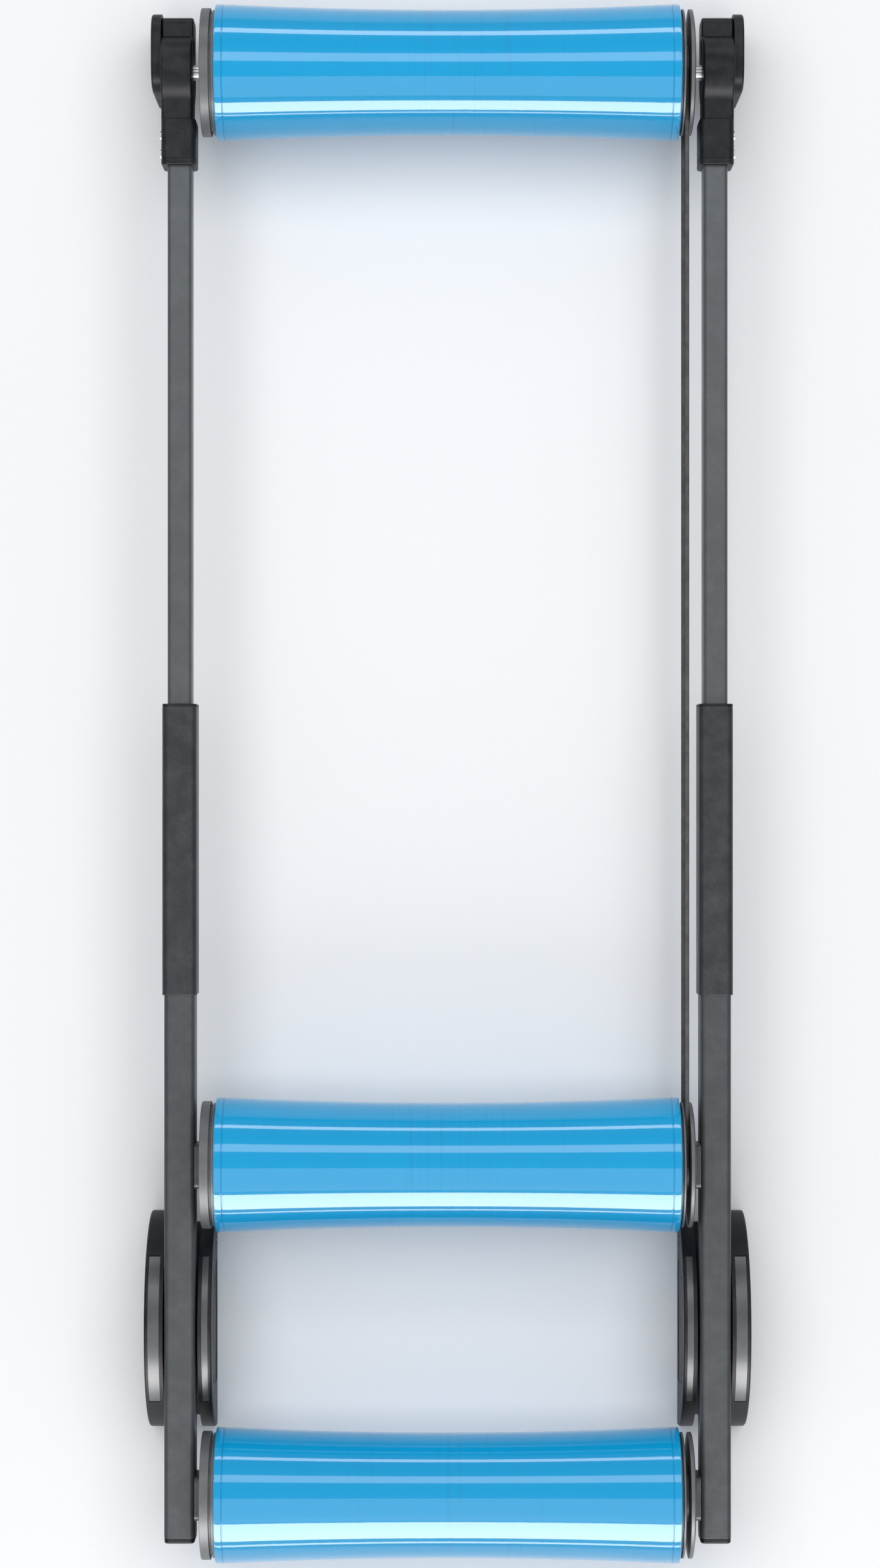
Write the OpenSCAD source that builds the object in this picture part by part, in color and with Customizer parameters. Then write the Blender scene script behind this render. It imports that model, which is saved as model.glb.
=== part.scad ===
// Bicycle training rollers: three waisted drums on a telescopic rail frame that swings fore and aft
// on four link-hung feet. Millimetres, Z up. The origin is on the floor, in the middle of the frame,
// with +Y towards the front drum and +X towards the side that carries the drive belt.

/* [Rollers] */
// Radius of a drum at its two ends
roller_end_r = 61.5; // [59:0.5:62]
// Radius of a drum at its waist
roller_waist_r = 56.5; // [54:0.5:58]
// Half of the length of a drum's shell
shell_half = 211; // [206:1:212]
// Height of the drum axes above the floor
axis_z = 92; // [90:1:94]
// Distance of the front and the rear drum axis from the middle of the frame
end_axis_y = 650; // [645:1:660]
// Place of the middle drum's axis along the frame
middle_axis_y = -348; // [-356:1:-345]
// Diameter of the drum axles
axle_d = 10; // [8:0.5:12]

/* [Belt] */
// Width of the drive belt
belt_w = 4; // [3:0.5:4]
// Thickness of the drive belt
belt_t = 3; // [2:0.5:4]
// Radius of the bottom of the pulley groove
pulley_r = 24; // [20:1:30]

/* [Rails] */
// Distance of a rail's centre line from the middle of the frame
rail_x = 244; // [243.5:0.5:246]
// Width of the rear tubes
rear_tube_w = 28; // [26:0.5:28]
// Height of the rear tubes
rear_tube_h = 38; // [36:1:40]
// Width of the front tubes
front_tube_w = 22; // [20:0.5:22]
// Height of the front tubes
front_tube_h = 32; // [28:1:32]
// Wall thickness of all the tubes
tube_wall = 1.6; // [1.2:0.2:1.8]

/* [Swing feet] */
// Place of the rear feet along the frame
rear_foot_y = -500; // [-502:1:-498]
// Place of the front feet along the frame
front_foot_y = 663.5; // [660:0.5:666]
// Distance between the two pins of a swing link
link_length = 60; // [56:1:62]
// Angle that the links swing to each side
swing_angle = 15; // [10:1:16]
// Radius of the covers of the rear feet
cover_r = 100.5; // [97:0.5:101]
// Thickness of the rubber pads
pad_t = 4; // [3:0.5:6]

/* [Hidden] */
$fn = 96;
eps = 0.01;

// Drum shell: a curved outline from the waist out to a fine groove and a plain end lip
shell_bore_r = 51;
lip_w = 7;
groove_w = 1.2;
groove_depth = 0.8;
curve_steps = 10;
curve_end = shell_half - lip_w - groove_w;

// End caps: plug, dark neck, flange and a chamfered outer edge
cap_depth = 17;
cap_reach = 13;
cap_plug_r = shell_bore_r - 0.1;
neck_r = 53;
neck_w = 4.7;
flange_r = 58;
flange_w = 5.6;
cap_face_r = 50;
pulley_neck_r = 52;
pulley_flange_r = 57;
pulley_neck_w = 2;
pulley_flange_w = 2;
pulley_gap_w = belt_w + 0.4;
cap_out = shell_half + cap_reach;
belt_x = shell_half + pulley_neck_w + pulley_flange_w + pulley_gap_w / 2;
belt_gap = 0.1;

// Bearings, axles and spacers
axle_r = axle_d / 2;
race_r = 7.5;
race_gap = 0.05;
bearing_r = 13;
bearing_w = 8;
bearing_out = shell_half - 1;
spacer_r = 7;
cap_eye_r = 9.5;

// Rails
rear_tube_r = 5;
front_tube_r = 4;
sleeve_gap = 0.2;
sleeve_wall = 1.5;
sleeve_w = rear_tube_w + 2 * (sleeve_gap + sleeve_wall);
sleeve_h = rear_tube_h + 2 * (sleeve_gap + sleeve_wall);
rear_tube_from = -686;
rear_tube_to = -100;
sleeve_from = -192;
sleeve_to = 70;
bush_depth = 40;
bush_flange = 3;
front_tube_from = -45;
front_tube_to = 600;
end_cap_head = 5;
end_cap_plug = 15;
tail_head = 5;
tail_plug = 20;
bracket_t = 4;
bracket_y = 40;
bracket_z = 44;
lock_screw_r = 3;
lock_head_r = 5;
lock_head_h = 6;
lock_boss_r = 8;
lock_boss_h = 6;
front_lock_y = 50;
rear_lock_y = -175;

// Swing feet: the places across a rail are counted from the rail's centre line
pin_r = 4;
pin_gap = 0.05;
bush_r = 6;
bush_stand = 0.2;
link_r = 9;
link_t = 4;
top_pin_z = 84;
low_pin_z = top_pin_z - link_length;
plate_in = rear_tube_w / 2 + 2;
plate_t = 3;
plate_out = plate_in + plate_t;
plate_r = cover_r - 5;
inner_cover_w = 12.5;
outer_cover_w = 17;
cover_face_t = 2;
cover_rim_t = 3.5;
cover_chamfer = 2;
band_depth = 1;
band_angle = 42;
band_margin = 3;
plate_low = pad_t + cover_rim_t + 0.1;
rear_link_in = plate_out + 0.5;
rear_link_out = rear_link_in + link_t;
pin_head_r = 6.5;
pin_head_t = 1.3;
slot_play = 1;
base_t = 6;
base_y = 90;
screw_r = 2;
screw_head_r = 4;
screw_head_t = 1.7;
post_r = 5.5;
cover_screws_at = [[74, 18], [48, 66], [-48, 66], [-74, 18]];
rear_pad = [56, 35];
rear_pad_y = 67.5;
pad_corner_r = 4;
hanger_half = 12.5;
hanger_plate_t = 4;
hanger_top_y = 30;

// Front fittings and front feet, again counted from the rail's centre line
block_in = -15;
block_out = 16.5;
block_from = 563;
block_to = 605;
block_h = 44;
block_r = 6;
hub_r = 33;
hub_in = -12;
hub_out = 16.5;
neck_h = 38;
lug_in = -6.5;
nose_from = 664;
nose_to = 700;
nose_low = 62;
nose_top = 99;
nose_r = 7;
front_axle_end = hub_out - 8;
fitting_screw_y = [575, 592];
fitting_head_r = 4.5;
fitting_head_t = 2;
front_link_in = 18;
front_link_out = front_link_in + link_t;
pod_in = 17.5;
pod_out = 26.5;
pod_wall = 2.5;
pod_rim = 3;
pod_y = 72;
pod_ahead = 6;
pod_top = 105;
pod_r = 22;
front_base_in = -2.5;
front_pad = [24, 20];
front_pad_y = 22;

// ---- Placing and shaping helpers ----

// The right-hand rail's centre line, and its mirror image on the left
module right() { translate([rail_x, 0, 0]) children(); }
module left() { mirror([1, 0, 0]) right() children(); }
module both_rails() {
    right() children();
    left() children();
}

// A piece on the outer side of a rail, and its mirror image on the inner side
module both_flanks() {
    children();
    mirror([1, 0, 0]) children();
}

// The drum ends: drawn at +X and mirrored to -X
module both_ends() { both_flanks() children(); }

// An outline drawn in (Y, Z), extruded from x0 to x1
module along_x(x0, x1) {
    translate([x0, 0, 0]) rotate([90, 0, 90]) linear_extrude(x1 - x0) children();
}

// An outline drawn in (X, Z), extruded from y0 to y1
module along_y(y0, y1) {
    translate([0, y1, 0]) rotate([90, 0, 0]) linear_extrude(y1 - y0) children();
}

// An outline drawn as (radius, x), turned about the X axis
module turned() { rotate([0, 90, 0]) rotate_extrude() children(); }

// A ring or, with no bore, a disc about the X axis
module ring_x(x0, x1, r, bore) {
    along_x(x0, x1) difference() {
        circle(r);
        if (bore > 0) circle(bore);
    }
}

module round_rect(w, h, r) {
    square([w - 2 * r, h], center = true);
    square([w, h - 2 * r], center = true);
    for (x = [-1, 1], y = [-1, 1])
        translate([x * (w / 2 - r), y * (h / 2 - r)]) circle(r);
}

// A rectangular tube along Y about the rail's centre line, at the height of the drum axes
module tube_y(y0, y1, w, h, r, wall) {
    translate([0, 0, axis_z]) along_y(y0, y1) difference() {
        round_rect(w, h, r);
        round_rect(w - 2 * wall, h - 2 * wall, r - wall);
    }
}

module bar_y(y0, y1, w, h, r) {
    translate([0, 0, axis_z]) along_y(y0, y1) round_rect(w, h, r);
}

// ---- Drums ----

module at_axis(y) { translate([0, y, axis_z]) children(); }

function drum_r(x) = roller_waist_r + (roller_end_r - roller_waist_r) * pow(x / curve_end, 2);

// One half of the outline, from the waist to the end lip
function half_outline() = concat(
    [for (i = [0:curve_steps]) [drum_r(curve_end * i / curve_steps), curve_end * i / curve_steps]],
    [
        [roller_end_r - groove_depth, curve_end],
        [roller_end_r - groove_depth, curve_end + groove_w],
        [roller_end_r, curve_end + groove_w],
        [roller_end_r, shell_half - 1],
        [roller_end_r - 1, shell_half],
        [shell_bore_r, shell_half],
        [shell_bore_r, 0]
    ]
);

module drum_shell() {
    color("deepskyblue") both_ends() turned() polygon(half_outline());
}

// The parts that both kinds of end cap share: bearing seat, axle eye, inner pocket and outer dish
module cap_hollows() {
    x0 = shell_half - cap_depth;
    ring_x(x0 - eps, bearing_out, bearing_r, 0);
    ring_x(x0 - eps, cap_out + eps, cap_eye_r, 0);
    ring_x(x0 - eps, shell_half - 4, 46, 18);
    ring_x(cap_out - 1.5, cap_out + eps, 44, 20);
}

module plain_cap() {
    x0 = shell_half - cap_depth;
    x1 = shell_half + neck_w;
    x2 = x1 + flange_w;
    color("dimgray") difference() {
        turned() polygon([
            [0, x0], [cap_plug_r, x0], [cap_plug_r, shell_half], [neck_r, shell_half], [neck_r, x1],
            [flange_r, x1], [flange_r, x2], [cap_face_r, cap_out], [0, cap_out]
        ]);
        cap_hollows();
    }
}

module pulley_cap() {
    x0 = shell_half - cap_depth;
    x1 = shell_half + pulley_neck_w;
    x2 = x1 + pulley_flange_w;
    x3 = x2 + pulley_gap_w;
    x4 = cap_out - 1.2;
    color("dimgray") difference() {
        turned() polygon([
            [0, x0], [cap_plug_r, x0], [cap_plug_r, shell_half], [pulley_neck_r, shell_half],
            [pulley_neck_r, x1], [pulley_flange_r, x1], [pulley_flange_r, x2], [pulley_r, x2],
            [pulley_r, x3], [pulley_flange_r, x3], [pulley_flange_r, x4], [cap_face_r, cap_out],
            [0, cap_out]
        ]);
        pulley_hollows();
    }
}

// The belt groove leaves room for the bearing seat, the eye and the inner pocket, but not the dish
module pulley_hollows() {
    x0 = shell_half - cap_depth;
    ring_x(x0 - eps, bearing_out, bearing_r, 0);
    ring_x(x0 - eps, cap_out + eps, cap_eye_r, 0);
    ring_x(x0 - eps, shell_half - 4, 46, 18);
}

module plain_cap_left() { mirror([1, 0, 0]) plain_cap(); }

module outer_races() {
    color("silver") both_ends()
        ring_x(bearing_out - bearing_w, bearing_out, bearing_r, race_r + race_gap);
}

module front_roller_shell() { at_axis(end_axis_y) drum_shell(); }
module front_roller_plain_cap() { at_axis(end_axis_y) plain_cap_left(); }
module front_roller_pulley_cap() { at_axis(end_axis_y) pulley_cap(); }
module front_roller_bearings() { at_axis(end_axis_y) outer_races(); }
module middle_roller_shell() { at_axis(middle_axis_y) drum_shell(); }
module middle_roller_plain_cap() { at_axis(middle_axis_y) plain_cap_left(); }
module middle_roller_pulley_cap() { at_axis(middle_axis_y) pulley_cap(); }
module middle_roller_bearings() { at_axis(middle_axis_y) outer_races(); }
module rear_roller_shell() { at_axis(-end_axis_y) drum_shell(); }
module rear_roller_plain_cap() { at_axis(-end_axis_y) plain_cap_left(); }
module rear_roller_pulley_cap() { at_axis(-end_axis_y) pulley_cap(); }
module rear_roller_bearings() { at_axis(-end_axis_y) outer_races(); }

// ---- Axles ----

axle_tip = rail_x - rear_tube_w / 2 - 0.1;
bracket_in = rail_x - rear_tube_w / 2 - bracket_t;

module axle(tip) { color("silver") ring_x(-tip, tip, axle_r, 0); }

module inner_races() {
    color("gainsboro") both_ends()
        ring_x(bearing_out - bearing_w, bearing_out, race_r, axle_r);
}

module spacers(x1) { color("gray") both_ends() ring_x(bearing_out, x1, spacer_r, axle_r); }

module front_axle() { at_axis(end_axis_y) axle(rail_x + front_axle_end); }
module middle_axle() { at_axis(middle_axis_y) axle(axle_tip); }
module rear_axle() { at_axis(-end_axis_y) axle(axle_tip); }
module front_inner_races() { at_axis(end_axis_y) inner_races(); }
module middle_inner_races() { at_axis(middle_axis_y) inner_races(); }
module rear_inner_races() { at_axis(-end_axis_y) inner_races(); }
module front_axle_spacers() { at_axis(end_axis_y) spacers(rail_x + hub_in); }
module rear_axle_spacers() {
    for (y = [middle_axis_y, -end_axis_y]) at_axis(y) spacers(bracket_in);
}

// ---- Drive belt: one closed loop from the front pulley to the middle one ----

module belt_outline(r) {
    for (y = [middle_axis_y, end_axis_y]) translate([y, 0]) circle(r);
    translate([middle_axis_y, -r]) square([end_axis_y - middle_axis_y, 2 * r]);
}

module drive_belt() {
    r = pulley_r + belt_gap;
    color("black") translate([0, 0, axis_z]) along_x(belt_x - belt_w / 2, belt_x + belt_w / 2)
        difference() {
            belt_outline(r + belt_t);
            belt_outline(r);
        }
}

// ---- Rear frame ----

module rear_tube() {
    color("slategray") tube_y(rear_tube_from, rear_tube_to, rear_tube_w, rear_tube_h, rear_tube_r, tube_wall);
}

module rear_tube_cap() {
    w = rear_tube_w - 2 * tube_wall - 0.2;
    h = rear_tube_h - 2 * tube_wall - 0.2;
    color("dimgray") {
        bar_y(rear_tube_from - end_cap_head, rear_tube_from, rear_tube_w, rear_tube_h, rear_tube_r);
        tube_y(rear_tube_from - eps, rear_tube_from + end_cap_plug, w, h, rear_tube_r - tube_wall, 2);
    }
}

module axle_bracket() {
    color("slategray") both_ends() along_x(bracket_in, bracket_in + bracket_t) difference() {
        round_rect(bracket_y, bracket_z, 5);
        circle(axle_r);
    }
}

// The outline of a lug that hangs from a wide top down to a round boss, about the boss's centre
module lug_outline(top_y, top_z, r) {
    circle(r);
    polygon([[-r, 0], [r, 0], [top_y, top_z], [-top_y, top_z]]);
}

module hanger() {
    top = axis_z - rear_tube_h / 2 - low_pin_z;
    color("slategray") translate([0, rear_foot_y, low_pin_z]) difference() {
        union() {
            both_flanks() along_x(hanger_half - hanger_plate_t, hanger_half)
                lug_outline(hanger_top_y, top, link_r);
            ring_x(-hanger_half, hanger_half, link_r, 0);
        }
        ring_x(-hanger_half - eps, hanger_half + eps, pin_r, 0);
    }
}

module rear_swing_pin() {
    head = rear_link_out + bush_stand + 0.3;
    color("silver") translate([0, rear_foot_y, low_pin_z]) {
        ring_x(-head - eps, head + eps, pin_r, 0);
        both_flanks() ring_x(head, head + pin_head_t, pin_head_r, 0);
    }
}

module rear_tube_left() { left() rear_tube(); }
module rear_tube_right() { right() rear_tube(); }
module rear_tube_caps() { both_rails() rear_tube_cap(); }
module middle_axle_brackets() { at_axis(middle_axis_y) axle_bracket(); }
module rear_axle_brackets() { at_axis(-end_axis_y) axle_bracket(); }
module hanger_left() { left() hanger(); }
module hanger_right() { right() hanger(); }
module rear_swing_pins() { both_rails() rear_swing_pin(); }

// ---- Sleeves, which slide on the rear tubes and guide the front tubes ----

module lock_place(y) { translate([0, y, axis_z - sleeve_h / 2]) children(); }

module sleeve() {
    color("darkslategray") difference() {
        union() {
            tube_y(sleeve_from, sleeve_to, sleeve_w, sleeve_h, rear_tube_r + sleeve_gap + sleeve_wall,
                sleeve_wall);
            for (y = [front_lock_y, rear_lock_y])
                lock_place(y) translate([0, 0, -lock_boss_h]) cylinder(h = lock_boss_h + 1, r = lock_boss_r);
        }
        for (y = [front_lock_y, rear_lock_y])
            lock_place(y) translate([0, 0, -lock_boss_h - 1]) cylinder(h = lock_boss_h + 4, r = lock_screw_r);
    }
}

module guide_bush() {
    r = front_tube_r + sleeve_gap;
    bore_w = front_tube_w + 2 * sleeve_gap;
    bore_h = front_tube_h + 2 * sleeve_gap;
    color("black") difference() {
        union() {
            bar_y(sleeve_to - bush_depth, sleeve_to + eps, rear_tube_w + sleeve_gap,
                rear_tube_h + sleeve_gap, rear_tube_r);
            bar_y(sleeve_to, sleeve_to + bush_flange, sleeve_w, sleeve_h, rear_tube_r + sleeve_gap);
        }
        bar_y(sleeve_to - bush_depth - 1, sleeve_to + bush_flange + 1, bore_w, bore_h, r);
        lock_place(front_lock_y) cylinder(h = sleeve_h / 2, r = lock_screw_r);
    }
}

// A socket-head screw whose tip stops just short of the tube that it locks
module lock_screw(y, tube_h) {
    tip = (sleeve_h - tube_h) / 2 - 0.3;
    color("black") lock_place(y) difference() {
        union() {
            translate([0, 0, -lock_boss_h]) cylinder(h = lock_boss_h + tip, r = lock_screw_r);
            translate([0, 0, -lock_boss_h - lock_head_h]) cylinder(h = lock_head_h, r = lock_head_r);
        }
        translate([0, 0, -lock_boss_h - lock_head_h - 1]) cylinder(h = 5, r = 2.9, $fn = 6);
    }
}

module sleeve_left() { left() sleeve(); }
module sleeve_right() { right() sleeve(); }
module guide_bushes() { both_rails() guide_bush(); }
module length_lock_screws() {
    both_rails() {
        lock_screw(front_lock_y, front_tube_h);
        lock_screw(rear_lock_y, rear_tube_h);
    }
}

// ---- Front frame ----

module front_tube() {
    color("lightslategray")
        tube_y(front_tube_from, front_tube_to, front_tube_w, front_tube_h, front_tube_r, tube_wall);
}

// A plug in the tube's hidden end, whose wider head slides in the rear tube
module tail_glide() {
    head_w = rear_tube_w - 2 * tube_wall - 2 * sleeve_gap;
    head_h = rear_tube_h - 2 * tube_wall - 2 * sleeve_gap;
    plug_w = front_tube_w - 2 * tube_wall - 0.2;
    plug_h = front_tube_h - 2 * tube_wall - 0.2;
    color("black") {
        bar_y(front_tube_from - tail_head, front_tube_from, head_w, head_h, 3);
        bar_y(front_tube_from - eps, front_tube_from + tail_plug, plug_w, plug_h, 2);
    }
}

module front_fitting() {
    lug_top = axis_z - low_pin_z;
    color("black") difference() {
        union() {
            translate([(block_in + block_out) / 2, 0, axis_z]) along_y(block_from, block_to)
                round_rect(block_out - block_in, block_h, block_r);
            translate([hub_in, block_to - 5, axis_z - neck_h / 2])
                cube([hub_out - hub_in, end_axis_y - block_to + 5, neck_h]);
            at_axis(end_axis_y) ring_x(hub_in, hub_out, hub_r, 0);
            translate([0, (nose_from + nose_to) / 2, (nose_low + nose_top) / 2])
                along_x(hub_in, hub_out)
                    round_rect(nose_to - nose_from, nose_top - nose_low, nose_r);
            translate([0, front_foot_y, low_pin_z]) along_x(lug_in, hub_out)
                lug_outline(link_r * 2, lug_top, link_r);
        }
        bar_y(block_from - 1, front_tube_to, front_tube_w + 0.2, front_tube_h + 0.2, front_tube_r);
        at_axis(end_axis_y) ring_x(hub_in - 1, front_axle_end, axle_r, 0);
        translate([0, front_foot_y, low_pin_z]) ring_x(lug_in - 1, hub_out + 1, pin_r, 0);
        for (y = fitting_screw_y)
            at_axis(y) ring_x(front_tube_w / 2, block_out + 1, screw_r, 0);
    }
}

module fitting_screw(y) {
    color("silver") at_axis(y) {
        ring_x(front_tube_w / 2 + 0.2, block_out + eps, screw_r, 0);
        ring_x(block_out, block_out + fitting_head_t, fitting_head_r, 0);
    }
}

module front_tube_left() { left() front_tube(); }
module front_tube_right() { right() front_tube(); }
module tail_glides() { both_rails() tail_glide(); }
module front_fitting_left() { left() front_fitting(); }
module front_fitting_right() { right() front_fitting(); }
module fitting_screws() { both_rails() for (y = fitting_screw_y) fitting_screw(y); }
module front_swing_pins() {
    color("silver") both_rails() translate([0, front_foot_y, low_pin_z])
        ring_x(lug_in, front_link_out + bush_stand, pin_r, 0);
}

// ---- Swing links ----

// The outline of a link that hangs from its top pin, with its two bush holes
module link_outline() {
    difference() {
        union() {
            circle(link_r);
            translate([0, -link_length]) circle(link_r);
            translate([-link_r, -link_length]) square([2 * link_r, link_length]);
        }
        circle(bush_r);
        translate([0, -link_length]) circle(bush_r);
    }
}

module link_bushes(x0) {
    for (z = [0, -link_length]) translate([0, 0, z])
        ring_x(x0 - bush_stand, x0 + link_t + bush_stand, bush_r, pin_r + pin_gap);
}

module front_links() {
    color("gray") both_rails() translate([0, front_foot_y, top_pin_z])
        along_x(front_link_in, front_link_out) link_outline();
}

module front_link_bushes() {
    color("goldenrod") both_rails() translate([0, front_foot_y, top_pin_z]) link_bushes(front_link_in);
}

module rear_links() {
    color("gray") both_rails() both_flanks() translate([0, rear_foot_y, top_pin_z])
        along_x(rear_link_in, rear_link_out) link_outline();
}

module rear_link_bushes() {
    color("goldenrod") both_rails() both_flanks() translate([0, rear_foot_y, top_pin_z])
        link_bushes(rear_link_in);
}

// ---- Front feet ----

// A pod with round top corners, about its own centre line, drawn in (Y, Z)
module pod_outline(inset) {
    half = pod_y / 2 - inset;
    r = pod_r - inset;
    top = pod_top - inset;
    translate([-half, pad_t + inset]) square([2 * half, top - r - pad_t - inset]);
    translate([-half + r, pad_t + inset]) square([2 * (half - r), top - pad_t - inset]);
    for (y = [-1, 1]) translate([y * (half - r), top - r]) circle(r);
}

module front_foot() {
    color("black") translate([0, front_foot_y + pod_ahead, 0]) difference() {
        union() {
            along_x(pod_in, pod_out) pod_outline(0);
            translate([front_base_in, -pod_y / 2, pad_t]) cube([pod_out - front_base_in, pod_y, base_t]);
        }
        along_x(pod_in - 1, pod_out - pod_wall) intersection() {
            pod_outline(pod_rim);
            translate([-pod_y / 2, pad_t + base_t]) square([pod_y, pod_top]);
        }
        translate([0, -pod_ahead, top_pin_z]) ring_x(pod_in, pod_out + 1, pin_r, 0);
    }
}

module front_foot_left() { left() front_foot(); }
module front_foot_right() { right() front_foot(); }
module front_pads() {
    middle = (front_base_in + pod_out) / 2;
    color("dimgray") both_rails() for (y = [-1, 1])
        translate([middle, front_foot_y + pod_ahead + y * front_pad_y, 0]) linear_extrude(pad_t)
            round_rect(front_pad[0], front_pad[1], pad_corner_r);
}
module front_foot_pins() {
    color("silver") both_rails() translate([0, front_foot_y, top_pin_z])
        ring_x(front_link_in - bush_stand, pod_out, pin_r, 0);
}

// ---- Rear feet ----

module rear_foot_base() {
    color("dimgray") translate([-plate_in, rear_foot_y - base_y, pad_t])
        cube([2 * plate_in, 2 * base_y, base_t]);
}

// The slot that the lower pin travels in as the links swing
module travel_slot() {
    travel = link_length * sin(swing_angle);
    rise = link_length * (1 - cos(swing_angle));
    r = pin_r + rise / 2 + slot_play;
    translate([0, low_pin_z + rise / 2]) {
        square([2 * travel, 2 * r], center = true);
        for (y = [-travel, travel]) translate([y, 0]) circle(r);
    }
}

module side_plate() {
    translate([0, rear_foot_y, 0]) along_x(plate_in, plate_out) difference() {
        translate([0, pad_t]) circle(plate_r);
        translate([-2 * plate_r, plate_low - 4 * plate_r]) square(4 * plate_r);
        translate([0, top_pin_z]) circle(pin_r);
        travel_slot();
        for (p = cover_screws_at) translate(p) circle(screw_r);
    }
}

module side_plates() { color("slategray") both_flanks() side_plate(); }

// The outline of a cover: a half-moon that stands on the pads
module half_moon(inset) {
    intersection() {
        translate([0, pad_t]) circle(cover_r - inset);
        translate([-cover_r, pad_t + inset]) square([2 * cover_r, cover_r]);
    }
}

// The shallow band let into the top of a cover's rim
module cover_band(depth) {
    y = cover_r * tan(band_angle) + 2;
    along_x(plate_in + band_margin, plate_in + depth - band_margin) intersection() {
        difference() {
            translate([0, pad_t]) circle(cover_r + 1);
            translate([0, pad_t]) circle(cover_r - band_depth);
        }
        polygon([[0, pad_t], [y, cover_r + pad_t + 2], [-y, cover_r + pad_t + 2]]);
    }
}

// A cover's shell over its side plate, with the posts that its screws pass through
module cover(depth) {
    face = plate_in + depth;
    color("black") translate([0, rear_foot_y, 0]) difference() {
        union() {
            difference() {
                union() {
                    along_x(plate_in, face - cover_chamfer) half_moon(0);
                    along_x(face - cover_chamfer, face) half_moon(cover_chamfer);
                }
                along_x(plate_in - 1, face - cover_face_t) half_moon(cover_rim_t);
            }
            for (p = cover_screws_at) translate([0, p[0], p[1]]) ring_x(plate_out, face - 1, post_r, 0);
        }
        cover_band(depth);
        for (p = cover_screws_at) translate([0, p[0], p[1]]) {
            ring_x(plate_in, face, screw_r, 0);
            ring_x(face - cover_face_t, face + 1, screw_head_r, 0);
        }
    }
}

module cover_screw(depth) {
    head = plate_in + depth - cover_face_t;
    ring_x(plate_in, head + eps, screw_r, 0);
    ring_x(head, head + screw_head_t, screw_head_r, 0);
}

module rear_foot_base_left() { left() rear_foot_base(); }
module rear_foot_base_right() { right() rear_foot_base(); }
module side_plates_left() { left() side_plates(); }
module side_plates_right() { right() side_plates(); }
module outer_cover_left() { left() cover(outer_cover_w); }
module outer_cover_right() { right() cover(outer_cover_w); }
module inner_cover_left() { left() mirror([1, 0, 0]) cover(inner_cover_w); }
module inner_cover_right() { right() mirror([1, 0, 0]) cover(inner_cover_w); }
module cover_screws() {
    color("silver") both_rails() for (p = cover_screws_at) translate([0, rear_foot_y + p[0], p[1]]) {
        cover_screw(outer_cover_w);
        mirror([1, 0, 0]) cover_screw(inner_cover_w);
    }
}
module rear_foot_pins() {
    color("silver") both_rails() both_flanks() translate([0, rear_foot_y, top_pin_z])
        ring_x(plate_in, rear_link_out + bush_stand + pin_head_t, pin_r, 0);
}
module rear_pads() {
    color("dimgray") both_rails() for (y = [-1, 1])
        translate([0, rear_foot_y + y * rear_pad_y, 0]) linear_extrude(pad_t)
            round_rect(rear_pad[0], rear_pad[1], pad_corner_r);
}

front_roller_shell();
front_roller_plain_cap();
front_roller_pulley_cap();
front_roller_bearings();
middle_roller_shell();
middle_roller_plain_cap();
middle_roller_pulley_cap();
middle_roller_bearings();
rear_roller_shell();
rear_roller_plain_cap();
rear_roller_pulley_cap();
rear_roller_bearings();
front_axle();
middle_axle();
rear_axle();
front_inner_races();
middle_inner_races();
rear_inner_races();
front_axle_spacers();
rear_axle_spacers();
drive_belt();
rear_tube_left();
rear_tube_right();
rear_tube_caps();
middle_axle_brackets();
rear_axle_brackets();
hanger_left();
hanger_right();
rear_swing_pins();
sleeve_left();
sleeve_right();
guide_bushes();
length_lock_screws();
front_tube_left();
front_tube_right();
tail_glides();
front_fitting_left();
front_fitting_right();
fitting_screws();
front_swing_pins();
front_links();
front_link_bushes();
front_foot_left();
front_foot_right();
front_pads();
front_foot_pins();
rear_links();
rear_link_bushes();
rear_foot_pins();
rear_foot_base_left();
rear_foot_base_right();
side_plates_left();
side_plates_right();
outer_cover_left();
outer_cover_right();
inner_cover_left();
inner_cover_right();
cover_screws();
rear_pads();
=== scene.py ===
"""Bicycle training rollers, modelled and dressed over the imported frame.

Three waisted blue drums turn in a telescopic rail frame, which swings fore and aft on four link-hung
feet. Everything is in metres, with +Y towards the front drum and +X towards the belt side. "Outward"
means away from the middle of the frame, and a piece that repeats is modelled once and copied.
"""

import logging
import math
from collections.abc import Callable, Sequence
from dataclasses import dataclass, field
from enum import Enum

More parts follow.
